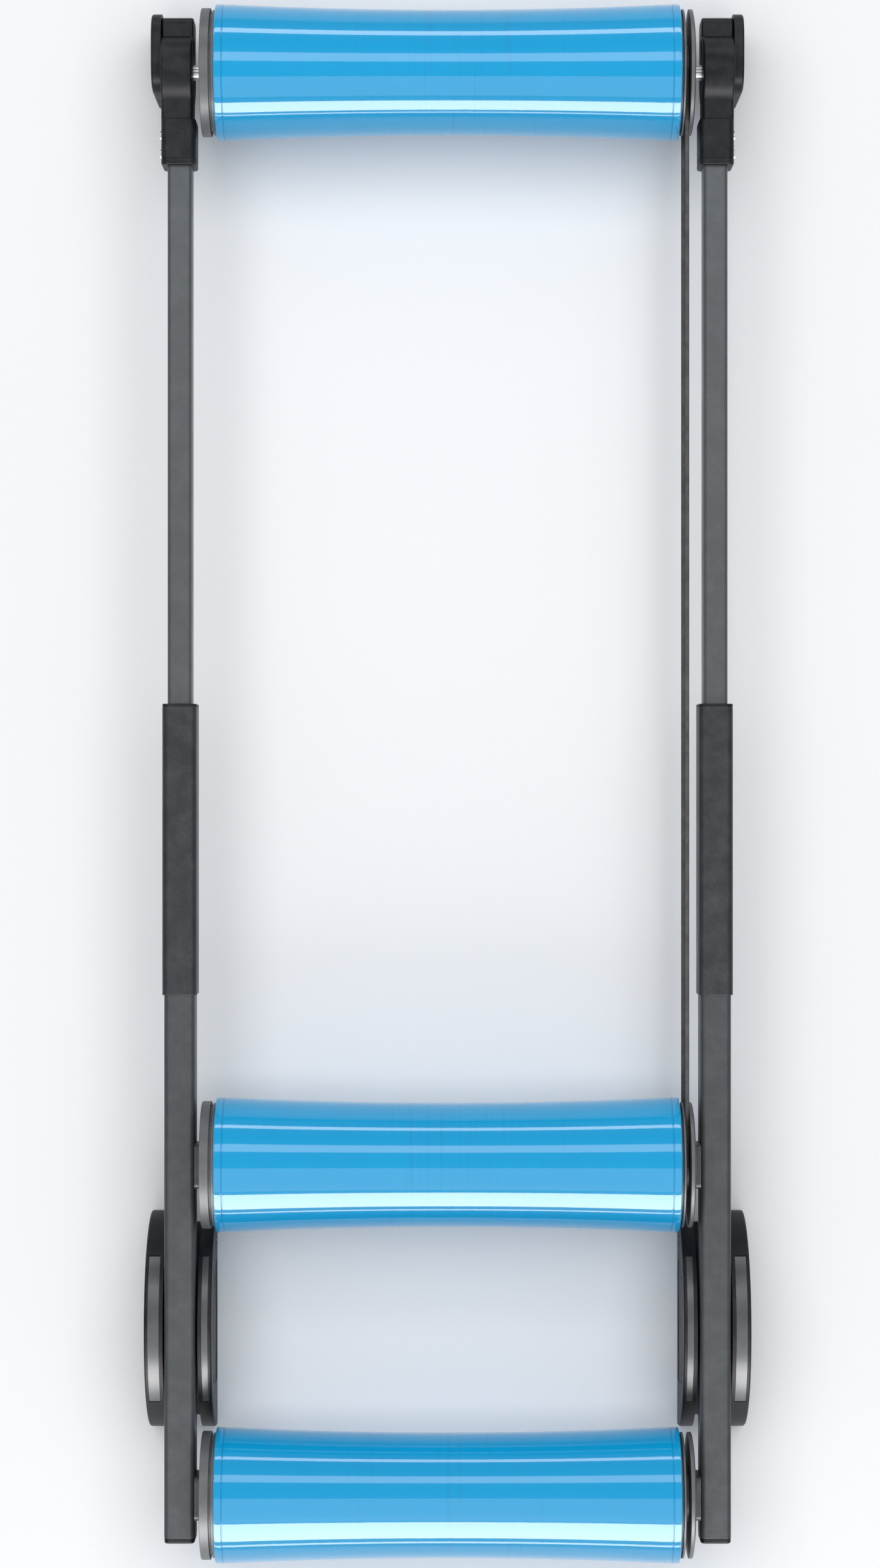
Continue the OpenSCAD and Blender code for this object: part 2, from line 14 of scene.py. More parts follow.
import bmesh
import bpy
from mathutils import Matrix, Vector

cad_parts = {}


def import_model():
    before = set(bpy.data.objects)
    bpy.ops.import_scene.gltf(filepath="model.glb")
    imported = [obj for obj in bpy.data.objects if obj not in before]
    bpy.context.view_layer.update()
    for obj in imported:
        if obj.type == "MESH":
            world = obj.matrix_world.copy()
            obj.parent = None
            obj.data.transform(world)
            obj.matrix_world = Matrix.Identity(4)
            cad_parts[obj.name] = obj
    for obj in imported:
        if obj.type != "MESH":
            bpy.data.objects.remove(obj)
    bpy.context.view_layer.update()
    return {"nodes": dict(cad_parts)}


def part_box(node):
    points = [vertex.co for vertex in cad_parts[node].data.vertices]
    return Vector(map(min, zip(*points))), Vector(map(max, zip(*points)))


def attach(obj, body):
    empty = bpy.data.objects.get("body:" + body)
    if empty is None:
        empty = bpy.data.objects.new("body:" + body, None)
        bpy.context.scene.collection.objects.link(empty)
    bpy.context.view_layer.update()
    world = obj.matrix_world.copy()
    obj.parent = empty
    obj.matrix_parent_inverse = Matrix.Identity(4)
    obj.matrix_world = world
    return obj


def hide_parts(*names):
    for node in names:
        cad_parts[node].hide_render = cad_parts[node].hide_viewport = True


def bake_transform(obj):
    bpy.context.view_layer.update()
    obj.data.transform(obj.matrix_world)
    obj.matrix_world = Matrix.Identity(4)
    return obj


LOG = logging.getLogger("rollers")
MM = 0.001
TURN = 2 * math.pi
DRUM_STEPS = 128
TOUCHING = 0.01 * MM
MERGED = 0.002 * MM
STRAIGHT = 0.99
SHARP = math.radians(40)
COLOUR_A, COLOUR_B, COLOUR_RESULT = 6, 7, 2
SENSOR_WIDTH = 36
LIGHT_HEIGHT = 0.1

Colour = tuple[float, float, float]
Point = tuple[float, float]
Socket = bpy.types.NodeSocket


class Side(Enum):
    """The two sides of the frame, as the sign of X."""

    LEFT = -1
    RIGHT = 1


class Slot(Enum):
    """The finishes that the record names."""

    ROLLER_BLUE = "roller_blue"
    CAP_GREY = "cap_grey"
    BLACK_PLASTIC = "black_plastic"
    FRONT_RAIL = "front_rail_paint"
    SLEEVE = "sleeve_paint"
    REAR_RAIL = "rear_rail_paint"
    BLACK_STEEL = "black_steel"
    ZINC = "zinc_steel"
    BEARING = "bearing_steel"
    BRONZE = "bush_bronze"
    BELT = "belt_rubber"
    PAD = "pad_rubber"


class Kind(Enum):
    """The mesh elements that a selection is made of."""

    VERT = "VERT"
    EDGE = "EDGE"
    FACE = "FACE"


class Cut(Enum):
    """The ways that two solids are combined."""

    UNION = "UNION"
    DIFFERENCE = "DIFFERENCE"


def tint(red: int, green: int, blue: int) -> Colour:
    """A linear colour from three screen values of 0 to 255."""

    def linear(value: int) -> float:
        """One channel, taken out of the screen's gamma."""
        share = value / 255
        return share / 12.92 if share <= 0.04045 else ((share + 0.055) / 1.055) ** 2.4

    return linear(red), linear(green), linear(blue)


@dataclass(frozen=True)
class Extent:
    """The box of a CAD node at rest."""

    low: Vector
    high: Vector

    @classmethod
    def of(cls, node: str) -> "Extent":
        """The box of the named node."""
        low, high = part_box(node)
        return cls(Vector(low), Vector(high))

    @property
    def middle(self) -> Vector:
        """The centre of the box."""
        return (self.low + self.high) / 2

    @property
    def size(self) -> Vector:
        """The three sides of the box."""
        return self.high - self.low


class Bench:
    """The moves that every piece is modelled with."""

    @staticmethod
    def clear() -> None:
        """Leaves edit mode and deselects everything."""
        active = bpy.context.view_layer.objects.active
        if active is not None and active.mode != "OBJECT":
            bpy.ops.object.mode_set(mode="OBJECT")
        bpy.ops.object.select_all(action="DESELECT")

    @staticmethod
    def activate(obj: bpy.types.Object) -> None:
        """Makes one object the active and only selected one."""
        Bench.clear()
        obj.select_set(True)
        bpy.context.view_layer.objects.active = obj

    @staticmethod
    def settle(name: str) -> bpy.types.Object:
        """Names the active object and moves its place into its mesh.

        Args:
            name: The name of the object and of its mesh.

        Returns:
            The object, which then sits at the origin.
        """
        obj = bpy.context.view_layer.objects.active
        obj.name = name
        obj.data.name = name
        bpy.ops.object.transform_apply(location=True, rotation=True, scale=True)
        return obj

    @staticmethod
    def block(name: str, low: Sequence[float], high: Sequence[float]) -> bpy.types.Object:
        """Adds a cuboid between two corners.

        Args:
            name: The new object's name.
            low: Its lowest corner.
            high: Its highest corner.

        Returns:
            The new object.
        """
        first, last = Vector(low), Vector(high)
        Bench.clear()
        bpy.ops.mesh.primitive_cube_add(size=1, location=(first + last) / 2, scale=last - first)
        return Bench.settle(name)

    @staticmethod
    def drum(name: str, start: Sequence[float], length: float, radius: float, steps: int) -> bpy.types.Object:
        """Adds a cylinder along X.

        Args:
            name: The new object's name.
            start: The middle of its end with the lowest X.
            length: Its length along X.
            radius: Its radius.
            steps: The number of its sides.

        Returns:
            The new object.
        """
        Bench.clear()
        bpy.ops.mesh.primitive_cylinder_add(
            vertices=steps,
            radius=radius,
            depth=length,
            location=Vector(start) + Vector((length / 2, 0, 0)),
            rotation=(0, math.pi / 2, 0),
        )
        return Bench.settle(name)

    @staticmethod
    def edit(obj: bpy.types.Object) -> None:
        """Enters edit mode on one object with all of it selected."""
        Bench.activate(obj)
        bpy.ops.object.mode_set(mode="EDIT")
        bpy.ops.mesh.select_mode(type="VERT")
        bpy.ops.mesh.select_all(action="SELECT")

    @staticmethod
    def pick(obj: bpy.types.Object, kind: Kind, test: Callable) -> int:
        """Selects the elements of one kind that pass a test, and nothing else, in edit mode.

        Args:
            obj: The object in edit mode.
            kind: Vertices, edges or faces.
            test: Takes a vertex, edge or face and says whether it is wanted.

        Returns:
            The number of elements selected.
        """
        bpy.ops.mesh.select_mode(type=kind.value)
        bpy.ops.mesh.select_all(action="DESELECT")
        mesh = bmesh.from_edit_mesh(obj.data)
        mesh.normal_update()
        elements = {Kind.VERT: mesh.verts, Kind.EDGE: mesh.edges, Kind.FACE: mesh.faces}[kind]
        count = 0
        for element in elements:
            if test(element):
                element.select_set(True)
                count += 1
        bmesh.update_edit_mesh(obj.data)
        return count

    @staticmethod
    def close_up(obj: bpy.types.Object) -> None:
        """Merges doubles and turns the faces outwards, then leaves edit mode."""
        bpy.ops.mesh.select_mode(type="VERT")
        bpy.ops.mesh.select_all(action="SELECT")
        bpy.ops.mesh.remove_doubles(threshold=MERGED)
        bpy.ops.mesh.normals_make_consistent(inside=False)
        bpy.ops.object.mode_set(mode="OBJECT")

    @staticmethod
    def line(name: str, points: Sequence[Sequence[float]], closed: bool) -> bpy.types.Object:
        """Draws a line of edges from point to point, starting from one corner of a small plane.

        Args:
            name: The new object's name.
            points: The points in order.
            closed: Whether the last point is joined to the first.

        Returns:
            The new object, still in edit mode.
        """
        Bench.clear()
        bpy.ops.mesh.primitive_plane_add(size=2 * MM)
        obj = Bench.settle(name)
        Bench.edit(obj)
        Bench.pick(obj, Kind.VERT, lambda vert: vert.co.x < 0 or vert.co.y < 0)
        bpy.ops.mesh.delete(type="VERT")
        bpy.ops.mesh.select_all(action="SELECT")
        here = Vector((MM, MM, 0))
        bpy.ops.transform.translate(value=Vector(points[0]) - here)
        here = Vector(points[0])
        for point in points[1:]:
            step = Vector(point) - here
            bpy.ops.mesh.extrude_vertices_move(TRANSFORM_OT_translate={"value": step})
            here = Vector(point)
        if closed:
            ends = [Vector(points[0]), Vector(points[-1])]
            Bench.pick(obj, Kind.VERT, lambda vert: any((vert.co - end).length < 0.001 * MM for end in ends))
            bpy.ops.mesh.edge_face_add()
        bpy.ops.mesh.select_mode(type="VERT")
        bpy.ops.mesh.select_all(action="SELECT")
        return obj

    @staticmethod
    def lathe(name: str, outline: Sequence[Point], axis: Point, steps: int = DRUM_STEPS) -> bpy.types.Object:
        """Turns a closed outline about an axis along X.

        Args:
            name: The new object's name.
            outline: Points as (x, radius).
            axis: The (y, z) of the axis.
            steps: The number of steps round it.

        Returns:
            The new closed solid of revolution.
        """
        points = [(x, axis[0], axis[1] + radius) for x, radius in outline]
        obj = Bench.line(name, points, closed=True)
        bpy.ops.mesh.spin(steps=steps, angle=TURN, center=(0, axis[0], axis[1]), axis=(1, 0, 0))
        Bench.close_up(obj)
        return obj

    @staticmethod
    def slab(name: str, outline: Sequence[Point], start: float, stop: float) -> bpy.types.Object:
        """Fills a closed outline and draws it out along X.

        Args:
            name: The new object's name.
            outline: Points as (y, z).
            start: The X of the first face.
            stop: The X of the last face.

        Returns:
            The new solid.
        """
        obj = Bench.line(name, [(start, y, z) for y, z in outline], closed=True)
        bpy.ops.mesh.edge_face_add()
        bpy.ops.mesh.extrude_region_move(TRANSFORM_OT_translate={"value": (stop - start, 0, 0)})
        Bench.close_up(obj)
        return obj

    @staticmethod
    def bevel(obj: bpy.types.Object, width: float, segments: int, test: Callable) -> None:
        """Rounds the edges that pass a test.

        Args:
            obj: The object to round.
            width: The width of the rounding.
            segments: The number of its steps.
            test: Takes an edge and says whether it is rounded.
        """
        Bench.edit(obj)
        if Bench.pick(obj, Kind.EDGE, test):
            bpy.ops.mesh.bevel(offset=width, segments=segments, affect="EDGES")
        bpy.ops.object.mode_set(mode="OBJECT")

    @staticmethod
    def split_at(obj: bpy.types.Object, place: Sequence[float], normal: Sequence[float]) -> None:
        """Cuts all the faces that cross a plane, in edit mode, and keeps both halves."""
        bpy.ops.mesh.select_all(action="SELECT")
        bpy.ops.mesh.bisect(plane_co=place, plane_no=normal, use_fill=False)

    @staticmethod
    def combine(obj: bpy.types.Object, other: bpy.types.Object, how: Cut) -> None:
        """Adds another solid to an object or takes it away, and removes the other.

        Args:
            obj: The object that is changed.
            other: The solid that it is combined with.
            how: Union or difference.
        """
        Bench.activate(obj)
        modifier = obj.modifiers.new("combine", "BOOLEAN")
        modifier.operation = how.value
        modifier.solver = "EXACT"
        modifier.object = other
        bpy.ops.object.modifier_apply(modifier=modifier.name)
        bpy.data.objects.remove(other, do_unlink=True)

    @staticmethod
    def join(parts: Sequence[bpy.types.Object]) -> bpy.types.Object:
        """Joins objects into the first of them and returns it."""
        Bench.activate(parts[0])
        for part in parts:
            part.select_set(True)
        bpy.ops.object.join()
        return parts[0]

    @staticmethod
    def copy(
        obj: bpy.types.Object, name: str, shift: Sequence[float], flip: bool = False
    ) -> bpy.types.Object:
        """Copies an object with its own mesh to another place.

        Args:
            obj: The object to copy.
            name: The copy's name.
            shift: How far the copy is moved, after any mirroring.
            flip: Whether the copy is mirrored in X first.

        Returns:
            The copy, at the origin, with its place in its mesh.
        """
        Bench.activate(obj)
        bpy.ops.object.duplicate(linked=False)
        twin = bpy.context.view_layer.objects.active
        twin.scale = (-1 if flip else 1, 1, 1)
        twin.location = shift
        twin = Bench.settle(name)
        if flip:
            Bench.edit(twin)
            bpy.ops.mesh.normals_make_consistent(inside=False)
            bpy.ops.object.mode_set(mode="OBJECT")
        return twin

    @staticmethod
    def smooth(obj: bpy.types.Object, angle: float = 35, weighted: bool = True) -> None:
        """Shades an object smooth up to an angle, with flat faces kept flat.

        Args:
            obj: The finished object.
            angle: The largest angle, in degrees, that is shaded smooth.
            weighted: Whether large faces keep their own direction at rounded edges.
        """
        Bench.activate(obj)
        bpy.ops.object.shade_smooth_by_angle(angle=math.radians(angle))
        if weighted:
            modifier = obj.modifiers.new("flats", "WEIGHTED_NORMAL")
            modifier.keep_sharp = True
            bpy.ops.object.modifier_apply(modifier=modifier.name)


def rounded(corners: Sequence[tuple[float, float, float]], steps: int = 4) -> list[Point]:
    """Rounds the corners of a closed outline.

    Args:
        corners: Points as (a, b, radius); a radius of 0 keeps the corner.
        steps: The number of steps in each rounding.

    Returns:
        The points of the rounded outline.
    """
    outline: list[Point] = []
    count = len(corners)
    for index, (a, b, radius) in enumerate(corners):
        here = Vector((a, b))
        back = Vector(corners[index - 1][:2]) - here
        ahead = Vector(corners[(index + 1) % count][:2]) - here
        if radius <= 0 or back.length == 0 or ahead.length == 0:
            outline.append((a, b))
            continue
        reach = min(radius, back.length * 0.49, ahead.length * 0.49)
        start, stop = here + back.normalized() * reach, here + ahead.normalized() * reach
        for step in range(steps + 1):
            share = step / steps
            point = start * (1 - share) ** 2 + here * 2 * share * (1 - share) + stop * share**2
            outline.append((point.x, point.y))
    return outline


def arc(centre: Point, radius: float, start: float, stop: float, step: float = 3) -> list[Point]:
    """Points on an arc in (y, z), by angles in degrees from straight up, towards +Y."""
    count = max(1, round(abs(stop - start) / step))
    angles = [math.radians(start + (stop - start) * index / count) for index in range(count + 1)]
    return [(centre[0] + radius * math.sin(a), centre[1] + radius * math.cos(a)) for a in angles]


def runs_along_y(edge: bmesh.types.BMEdge) -> bool:
    """Whether an edge runs straight along Y."""
    along = edge.verts[1].co - edge.verts[0].co
    return abs(along.y) > STRAIGHT * along.length


def runs_along_x(edge: bmesh.types.BMEdge) -> bool:
    """Whether an edge runs straight along X."""
    along = edge.verts[1].co - edge.verts[0].co
    return abs(along.x) > STRAIGHT * along.length


def is_sharp(edge: bmesh.types.BMEdge) -> bool:
    """Whether two faces meet at an edge at more than 40 degrees."""
    return len(edge.link_faces) == 2 and edge.calc_face_angle() > SHARP


def lies_at_y(edge: bmesh.types.BMEdge, places: Sequence[float]) -> bool:
    """Whether both ends of an edge lie at one of some places along Y."""
    return any(all(abs(vert.co.y - place) < TOUCHING for vert in edge.verts) for place in places)


def lies_at_x(edge: bmesh.types.BMEdge, place: float) -> bool:
    """Whether both ends of an edge lie at one place along X."""
    return all(abs(vert.co.x - place) < TOUCHING for vert in edge.verts)


def lies_at_z(edge: bmesh.types.BMEdge, place: float) -> bool:
    """Whether both ends of an edge lie at one height."""
    return all(abs(vert.co.z - place) < TOUCHING for vert in edge.verts)


def lies_flat_at_x(face: bmesh.types.BMFace, place: float) -> bool:
    """Whether a face lies in the plane at one X."""
    return all(abs(vert.co.x - place) < TOUCHING for vert in face.verts)


class Wiring:
    """Adds nodes to one shader tree and joins them."""

    def __init__(self, tree: bpy.types.NodeTree) -> None:
        """Keeps the tree to work in."""
        self.tree = tree

    def add(self, kind: str, **settings: object) -> bpy.types.Node:
        """Adds a node of one kind with its settings."""
        node = self.tree.nodes.new(kind)
        for key, value in settings.items():
            setattr(node, key, value)
        return node

    def feed(self, socket: Socket, value: object) -> None:
        """Joins a socket to another one, or sets its value."""
        if isinstance(value, bpy.types.NodeSocket):
            self.tree.links.new(value, socket)
        else:
            socket.default_value = value

    def math(self, operation: str, first: object, second: object = 0.0, clamp: bool = False) -> Socket:
        """Adds a Math node and returns its result."""
        node = self.add("ShaderNodeMath", operation=operation, use_clamp=clamp)
        self.feed(node.inputs[0], first)
        self.feed(node.inputs[1], second)
        return node.outputs[0]

    def span(self, value: object, source: Point, target: tuple[object, object]) -> Socket:
        """Adds a clamped Map Range node and returns its result."""
        node = self.add("ShaderNodeMapRange", clamp=True)
        self.feed(node.inputs["Value"], value)
        for name, number in zip(("From Min", "From Max", "To Min", "To Max"), (*source, *target)):
            self.feed(node.inputs[name], number)
        return node.outputs["Result"]

    def mix(self, share: object, first: object, second: object) -> Socket:
        """Adds a colour Mix node and returns its result."""
        node = self.add("ShaderNodeMix", data_type="RGBA")
        self.feed(node.inputs["Factor"], share)
        self.feed(node.inputs[COLOUR_A], first)
        self.feed(node.inputs[COLOUR_B], second)
        return node.outputs[COLOUR_RESULT]

    def group(self, tree: bpy.types.NodeTree, values: dict[str, object]) -> bpy.types.Node:
        """Places a node group with its own values."""
        node = self.add("ShaderNodeGroup")
        node.node_tree = tree
        for name, value in values.items():
            self.feed(node.inputs[name], value)
        return node


class Effects:
    """The surface effects that several finishes share, each made once as a node group."""

    def __init__(self) -> None:
        """Makes the groups."""
        self.grain = self.make_grain()
        self.mottle = self.make_mottle()
        self.wear = self.make_wear()
        self.dust = self.make_dust()

    @staticmethod
    def start(
        name: str, inputs: Sequence[tuple[str, str, object]], output: str
    ) -> tuple[Wiring, dict[str, Socket], Socket]:
        """Starts a group with its sockets.

        Args:
            name: The group's name.
            inputs: Name, socket type and default of each input.
            output: The name of its one output, which is a value.

        Returns:
            The wiring, the input sockets by name, and the socket that takes the result.
        """
        tree = bpy.data.node_groups.new(name, "ShaderNodeTree")
        for label, kind, default in inputs:
            socket = tree.interface.new_socket(label, in_out="INPUT", socket_type=kind)
            if default is not None:
                socket.default_value = default
        tree.interface.new_socket(output, in_out="OUTPUT", socket_type="NodeSocketFloat")
        wiring = Wiring(tree)
        source = wiring.add("NodeGroupInput")
        result = wiring.add("NodeGroupOutput")
        return wiring, {socket.name: socket for socket in source.outputs if socket.name}, result.inputs[0]

    def make_grain(self) -> bpy.types.NodeTree:
        """A fine moulded or sprayed grain, as a height."""
        wiring, source, result = self.start(
            "Grain",
            [
                ("Vector", "NodeSocketVector", None),
                ("Scale", "NodeSocketFloat", 900.0),
                ("Cells", "NodeSocketFloat", 0.5),
            ],
            "Height",
        )
        noise = wiring.add("ShaderNodeTexNoise")
        wiring.feed(noise.inputs["Vector"], source["Vector"])
        wiring.feed(noise.inputs["Scale"], source["Scale"])
        wiring.feed(noise.inputs["Detail"], 3.0)
        cells = wiring.add("ShaderNodeTexVoronoi")
        wiring.feed(cells.inputs["Vector"], source["Vector"])
        wiring.feed(cells.inputs["Scale"], wiring.math("MULTIPLY", source["Scale"], 1.3))
        soft = wiring.math("MULTIPLY", noise.outputs["Fac"], wiring.math("SUBTRACT", 1.0, source["Cells"]))
        hard = wiring.math("MULTIPLY", cells.outputs["Distance"], source["Cells"])
        wiring.feed(result, wiring.math("ADD", soft, hard))
        return wiring.tree

    def make_mottle(self) -> bpy.types.NodeTree:
        """Slow patches over a surface, as a value of 0 to 1."""
        wiring, source, result = self.start(
            "Mottle",
            [
                ("Vector", "NodeSocketVector", None),
                ("Scale", "NodeSocketFloat", 30.0),
                ("Contrast", "NodeSocketFloat", 0.5),
            ],
            "Share",
        )
        noise = wiring.add("ShaderNodeTexNoise")
        wiring.feed(noise.inputs["Vector"], source["Vector"])
        wiring.feed(noise.inputs["Scale"], source["Scale"])
        wiring.feed(noise.inputs["Detail"], 5.0)
        wiring.feed(noise.inputs["Roughness"], 0.6)
        half = wiring.math("MULTIPLY", source["Contrast"], 0.3)
        low = wiring.math("SUBTRACT", 0.5, wiring.math("SUBTRACT", 0.35, half))
        high = wiring.math("ADD", 0.5, wiring.math("SUBTRACT", 0.35, half))
        above = wiring.math("SUBTRACT", noise.outputs["Fac"], low)
        wiring.feed(result, wiring.math("DIVIDE", above, wiring.math("SUBTRACT", high, low), clamp=True))
        return wiring.tree

    def make_wear(self) -> bpy.types.NodeTree:
        """Rubbed edges, as a mask that is broken up along the edge."""
        wiring, source, result = self.start(
            "Edge wear",
            [
                ("Vector", "NodeSocketVector", None),
                ("Width", "NodeSocketFloat", 1.2 * MM),
                ("Breaks", "NodeSocketFloat", 160.0),
                ("Amount", "NodeSocketFloat", 0.5),
            ],
            "Mask",
        )
        bevel = wiring.add("ShaderNodeBevel", samples=4)
        wiring.feed(bevel.inputs["Radius"], source["Width"])
        geometry = wiring.add("ShaderNodeNewGeometry")
        dot = wiring.add("ShaderNodeVectorMath", operation="DOT_PRODUCT")
        wiring.feed(dot.inputs[0], bevel.outputs["Normal"])
        wiring.feed(dot.inputs[1], geometry.outputs["Normal"])
        edge = wiring.span(dot.outputs["Value"], (0.985, 0.86), (0.0, 1.0))
        noise = wiring.add("ShaderNodeTexNoise")
        wiring.feed(noise.inputs["Vector"], source["Vector"])
        wiring.feed(noise.inputs["Scale"], source["Breaks"])
        wiring.feed(noise.inputs["Detail"], 4.0)
        broken = wiring.span(noise.outputs["Fac"], (0.38, 0.62), (0.15, 1.0))
        rubbed = wiring.math("MULTIPLY", edge, broken)
        wiring.feed(result, wiring.math("MULTIPLY", rubbed, source["Amount"], clamp=True))
        return wiring.tree

    def make_dust(self) -> bpy.types.NodeTree:
        """Fine dust that lies on upward faces, as a mask."""
        wiring, source, result = self.start(
            "Dust",
            [
                ("Vector", "NodeSocketVector", None),
                ("Scale", "NodeSocketFloat", 60.0),
                ("Amount", "NodeSocketFloat", 0.1),
            ],
            "Mask",
        )
        geometry = wiring.add("ShaderNodeNewGeometry")
        split = wiring.add("ShaderNodeSeparateXYZ")
        wiring.feed(split.inputs[0], geometry.outputs["Normal"])
        upward = wiring.span(split.outputs["Z"], (0.2, 0.95), (0.0, 1.0))
        noise = wiring.add("ShaderNodeTexNoise")
        wiring.feed(noise.inputs["Vector"], source["Vector"])
        wiring.feed(noise.inputs["Scale"], source["Scale"])
        wiring.feed(noise.inputs["Detail"], 8.0)
        wiring.feed(noise.inputs["Roughness"], 0.7)
        patches = wiring.span(noise.outputs["Fac"], (0.42, 0.7), (0.1, 1.0))
        lying = wiring.math("MULTIPLY", upward, patches)
        wiring.feed(result, wiring.math("MULTIPLY", lying, source["Amount"], clamp=True))
        return wiring.tree


@dataclass(frozen=True)
class Finish:
    """One procedural finish: colour, sheen, grain, rubbed edges and dust.

    Patterns are drawn on Object coordinates, whose three axes are drawn in by `stretch`.
    """

    name: str
    colour: Colour
    shade: Colour
    mottle: float = 25.0
    contrast: float = 0.4
    smoothest: float = 0.35
    roughest: float = 0.5
    metallic: float = 0.0
    coat: float = 0.0
    coat_roughness: float = 0.1
    sheen: float = 0.5
    grain: float = 900.0
    cells: float = 0.4
    depth: float = 0.05 * MM
    strength: float = 0.3
    stretch: Colour = (1.0, 1.0, 1.0)
    wear: float = 0.0
    wear_colour: Colour = (0.3, 0.3, 0.3)
    wear_width: float = 1.0 * MM
    dust: float = 0.0
    dust_colour: Colour = (0.45, 0.44, 0.42)
    dust_dulling: float = 0.35

    def make(self, effects: Effects) -> bpy.types.Material:
        """Builds the material.

        Args:
            effects: The shared node groups.

        Returns:
            The new material.
        """
        material = bpy.data.materials.new(self.name)
        material.use_nodes = True
        tree = material.node_tree
        wiring = Wiring(tree)
        shader = next(node for node in tree.nodes if node.type == "BSDF_PRINCIPLED")
        place = wiring.add("ShaderNodeTexCoord").outputs["Object"]
        drawn = wiring.add("ShaderNodeMapping")
        wiring.feed(drawn.inputs["Vector"], place)
        wiring.feed(drawn.inputs["Scale"], self.stretch)
        along = drawn.outputs["Vector"]

        colour, patches = self.paint(wiring, effects, place, along)
        rough = wiring.span(patches, (0.0, 1.0), (self.smoothest, self.roughest))
        if self.dust > 0:
            dust = wiring.group(effects.dust, {"Vector": place, "Amount": self.dust}).outputs[0]
            colour = wiring.mix(dust, colour, (*self.dust_colour, 1))
            rough = wiring.math("ADD", rough, wiring.math("MULTIPLY", dust, self.dust_dulling), clamp=True)
        wiring.feed(shader.inputs["Base Color"], colour)
        wiring.feed(shader.inputs["Roughness"], rough)
        wiring.feed(shader.inputs["Metallic"], self.metallic)
        wiring.feed(shader.inputs["Specular IOR Level"], self.sheen)
        wiring.feed(shader.inputs["Coat Weight"], self.coat)
        wiring.feed(shader.inputs["Coat Roughness"], self.coat_roughness)

        values = {"Vector": along, "Scale": self.grain, "Cells": self.cells}
        grain = wiring.group(effects.grain, values).outputs[0]
        bump = wiring.add("ShaderNodeBump")
        wiring.feed(bump.inputs["Strength"], self.strength)
        wiring.feed(bump.inputs["Distance"], self.depth)
        wiring.feed(bump.inputs["Height"], grain)
        wiring.feed(shader.inputs["Normal"], bump.outputs["Normal"])
        return material

    def paint(self, wiring: Wiring, effects: Effects, place: Socket, along: Socket) -> tuple[Socket, Socket]:
        """The colour before dust, and the patches that also vary the roughness.

        Args:
            wiring: The material's wiring.
            effects: The shared node groups.
            place: Object coordinates.
            along: The same, drawn in by the stretch.

        Returns:
            The colour and the patches.
        """
        values = {"Vector": along, "Scale": self.mottle, "Contrast": self.contrast}
        patches = wiring.group(effects.mottle, values).outputs[0]
        colour = wiring.mix(patches, (*self.colour, 1), (*self.shade, 1))
        if self.wear > 0:
            values = {"Vector": place, "Width": self.wear_width, "Amount": self.wear}
            rubbed = wiring.group(effects.wear, values).outputs[0]
            colour = wiring.mix(rubbed, colour, (*self.wear_colour, 1))
        return colour, patches


@dataclass(frozen=True)
class DrumEnamel(Finish):
    """The drums' glossy blue, with faint marks that tyres leave round them."""

    mark_colour: Colour = (0.02, 0.12, 0.25)
    marks: float = 0.2
    mark_pitch: float = 260.0
    track: float = 0.12

    def paint(self, wiring: Wiring, effects: Effects, place: Socket, along: Socket) -> tuple[Socket, Socket]:
        """The blue, dulled by thin rings that gather in the tyre's track at the waist.

        Args:
            wiring: The material's wiring.
            effects: The shared node groups.
            place: Object coordinates.
            along: The same, drawn in by the stretch.

        Returns:
            The colour and the patches.
        """
        colour, patches = super().paint(wiring, effects, place, along)
        across = wiring.add("ShaderNodeMapping")
        wiring.feed(across.inputs["Vector"], place)
        wiring.feed(across.inputs["Scale"], (1.0, 0.02, 0.02))
        rings = wiring.add("ShaderNodeTexNoise")
        wiring.feed(rings.inputs["Vector"], across.outputs["Vector"])
        wiring.feed(rings.inputs["Scale"], self.mark_pitch)
        wiring.feed(rings.inputs["Detail"], 6.0)
        thin = wiring.span(rings.outputs["Fac"], (0.55, 0.75), (0.0, 1.0))
        split = wiring.add("ShaderNodeSeparateXYZ")
        wiring.feed(split.inputs[0], place)
        near = wiring.span(wiring.math("ABSOLUTE", split.outputs["X"]), (0.02, self.track), (1.0, 0.15))
        marked = wiring.math("MULTIPLY", wiring.math("MULTIPLY", thin, near), self.marks)
        colour = wiring.mix(marked, colour, (*self.mark_colour, 1))
        return colour, wiring.math("ADD", patches, marked, clamp=True)


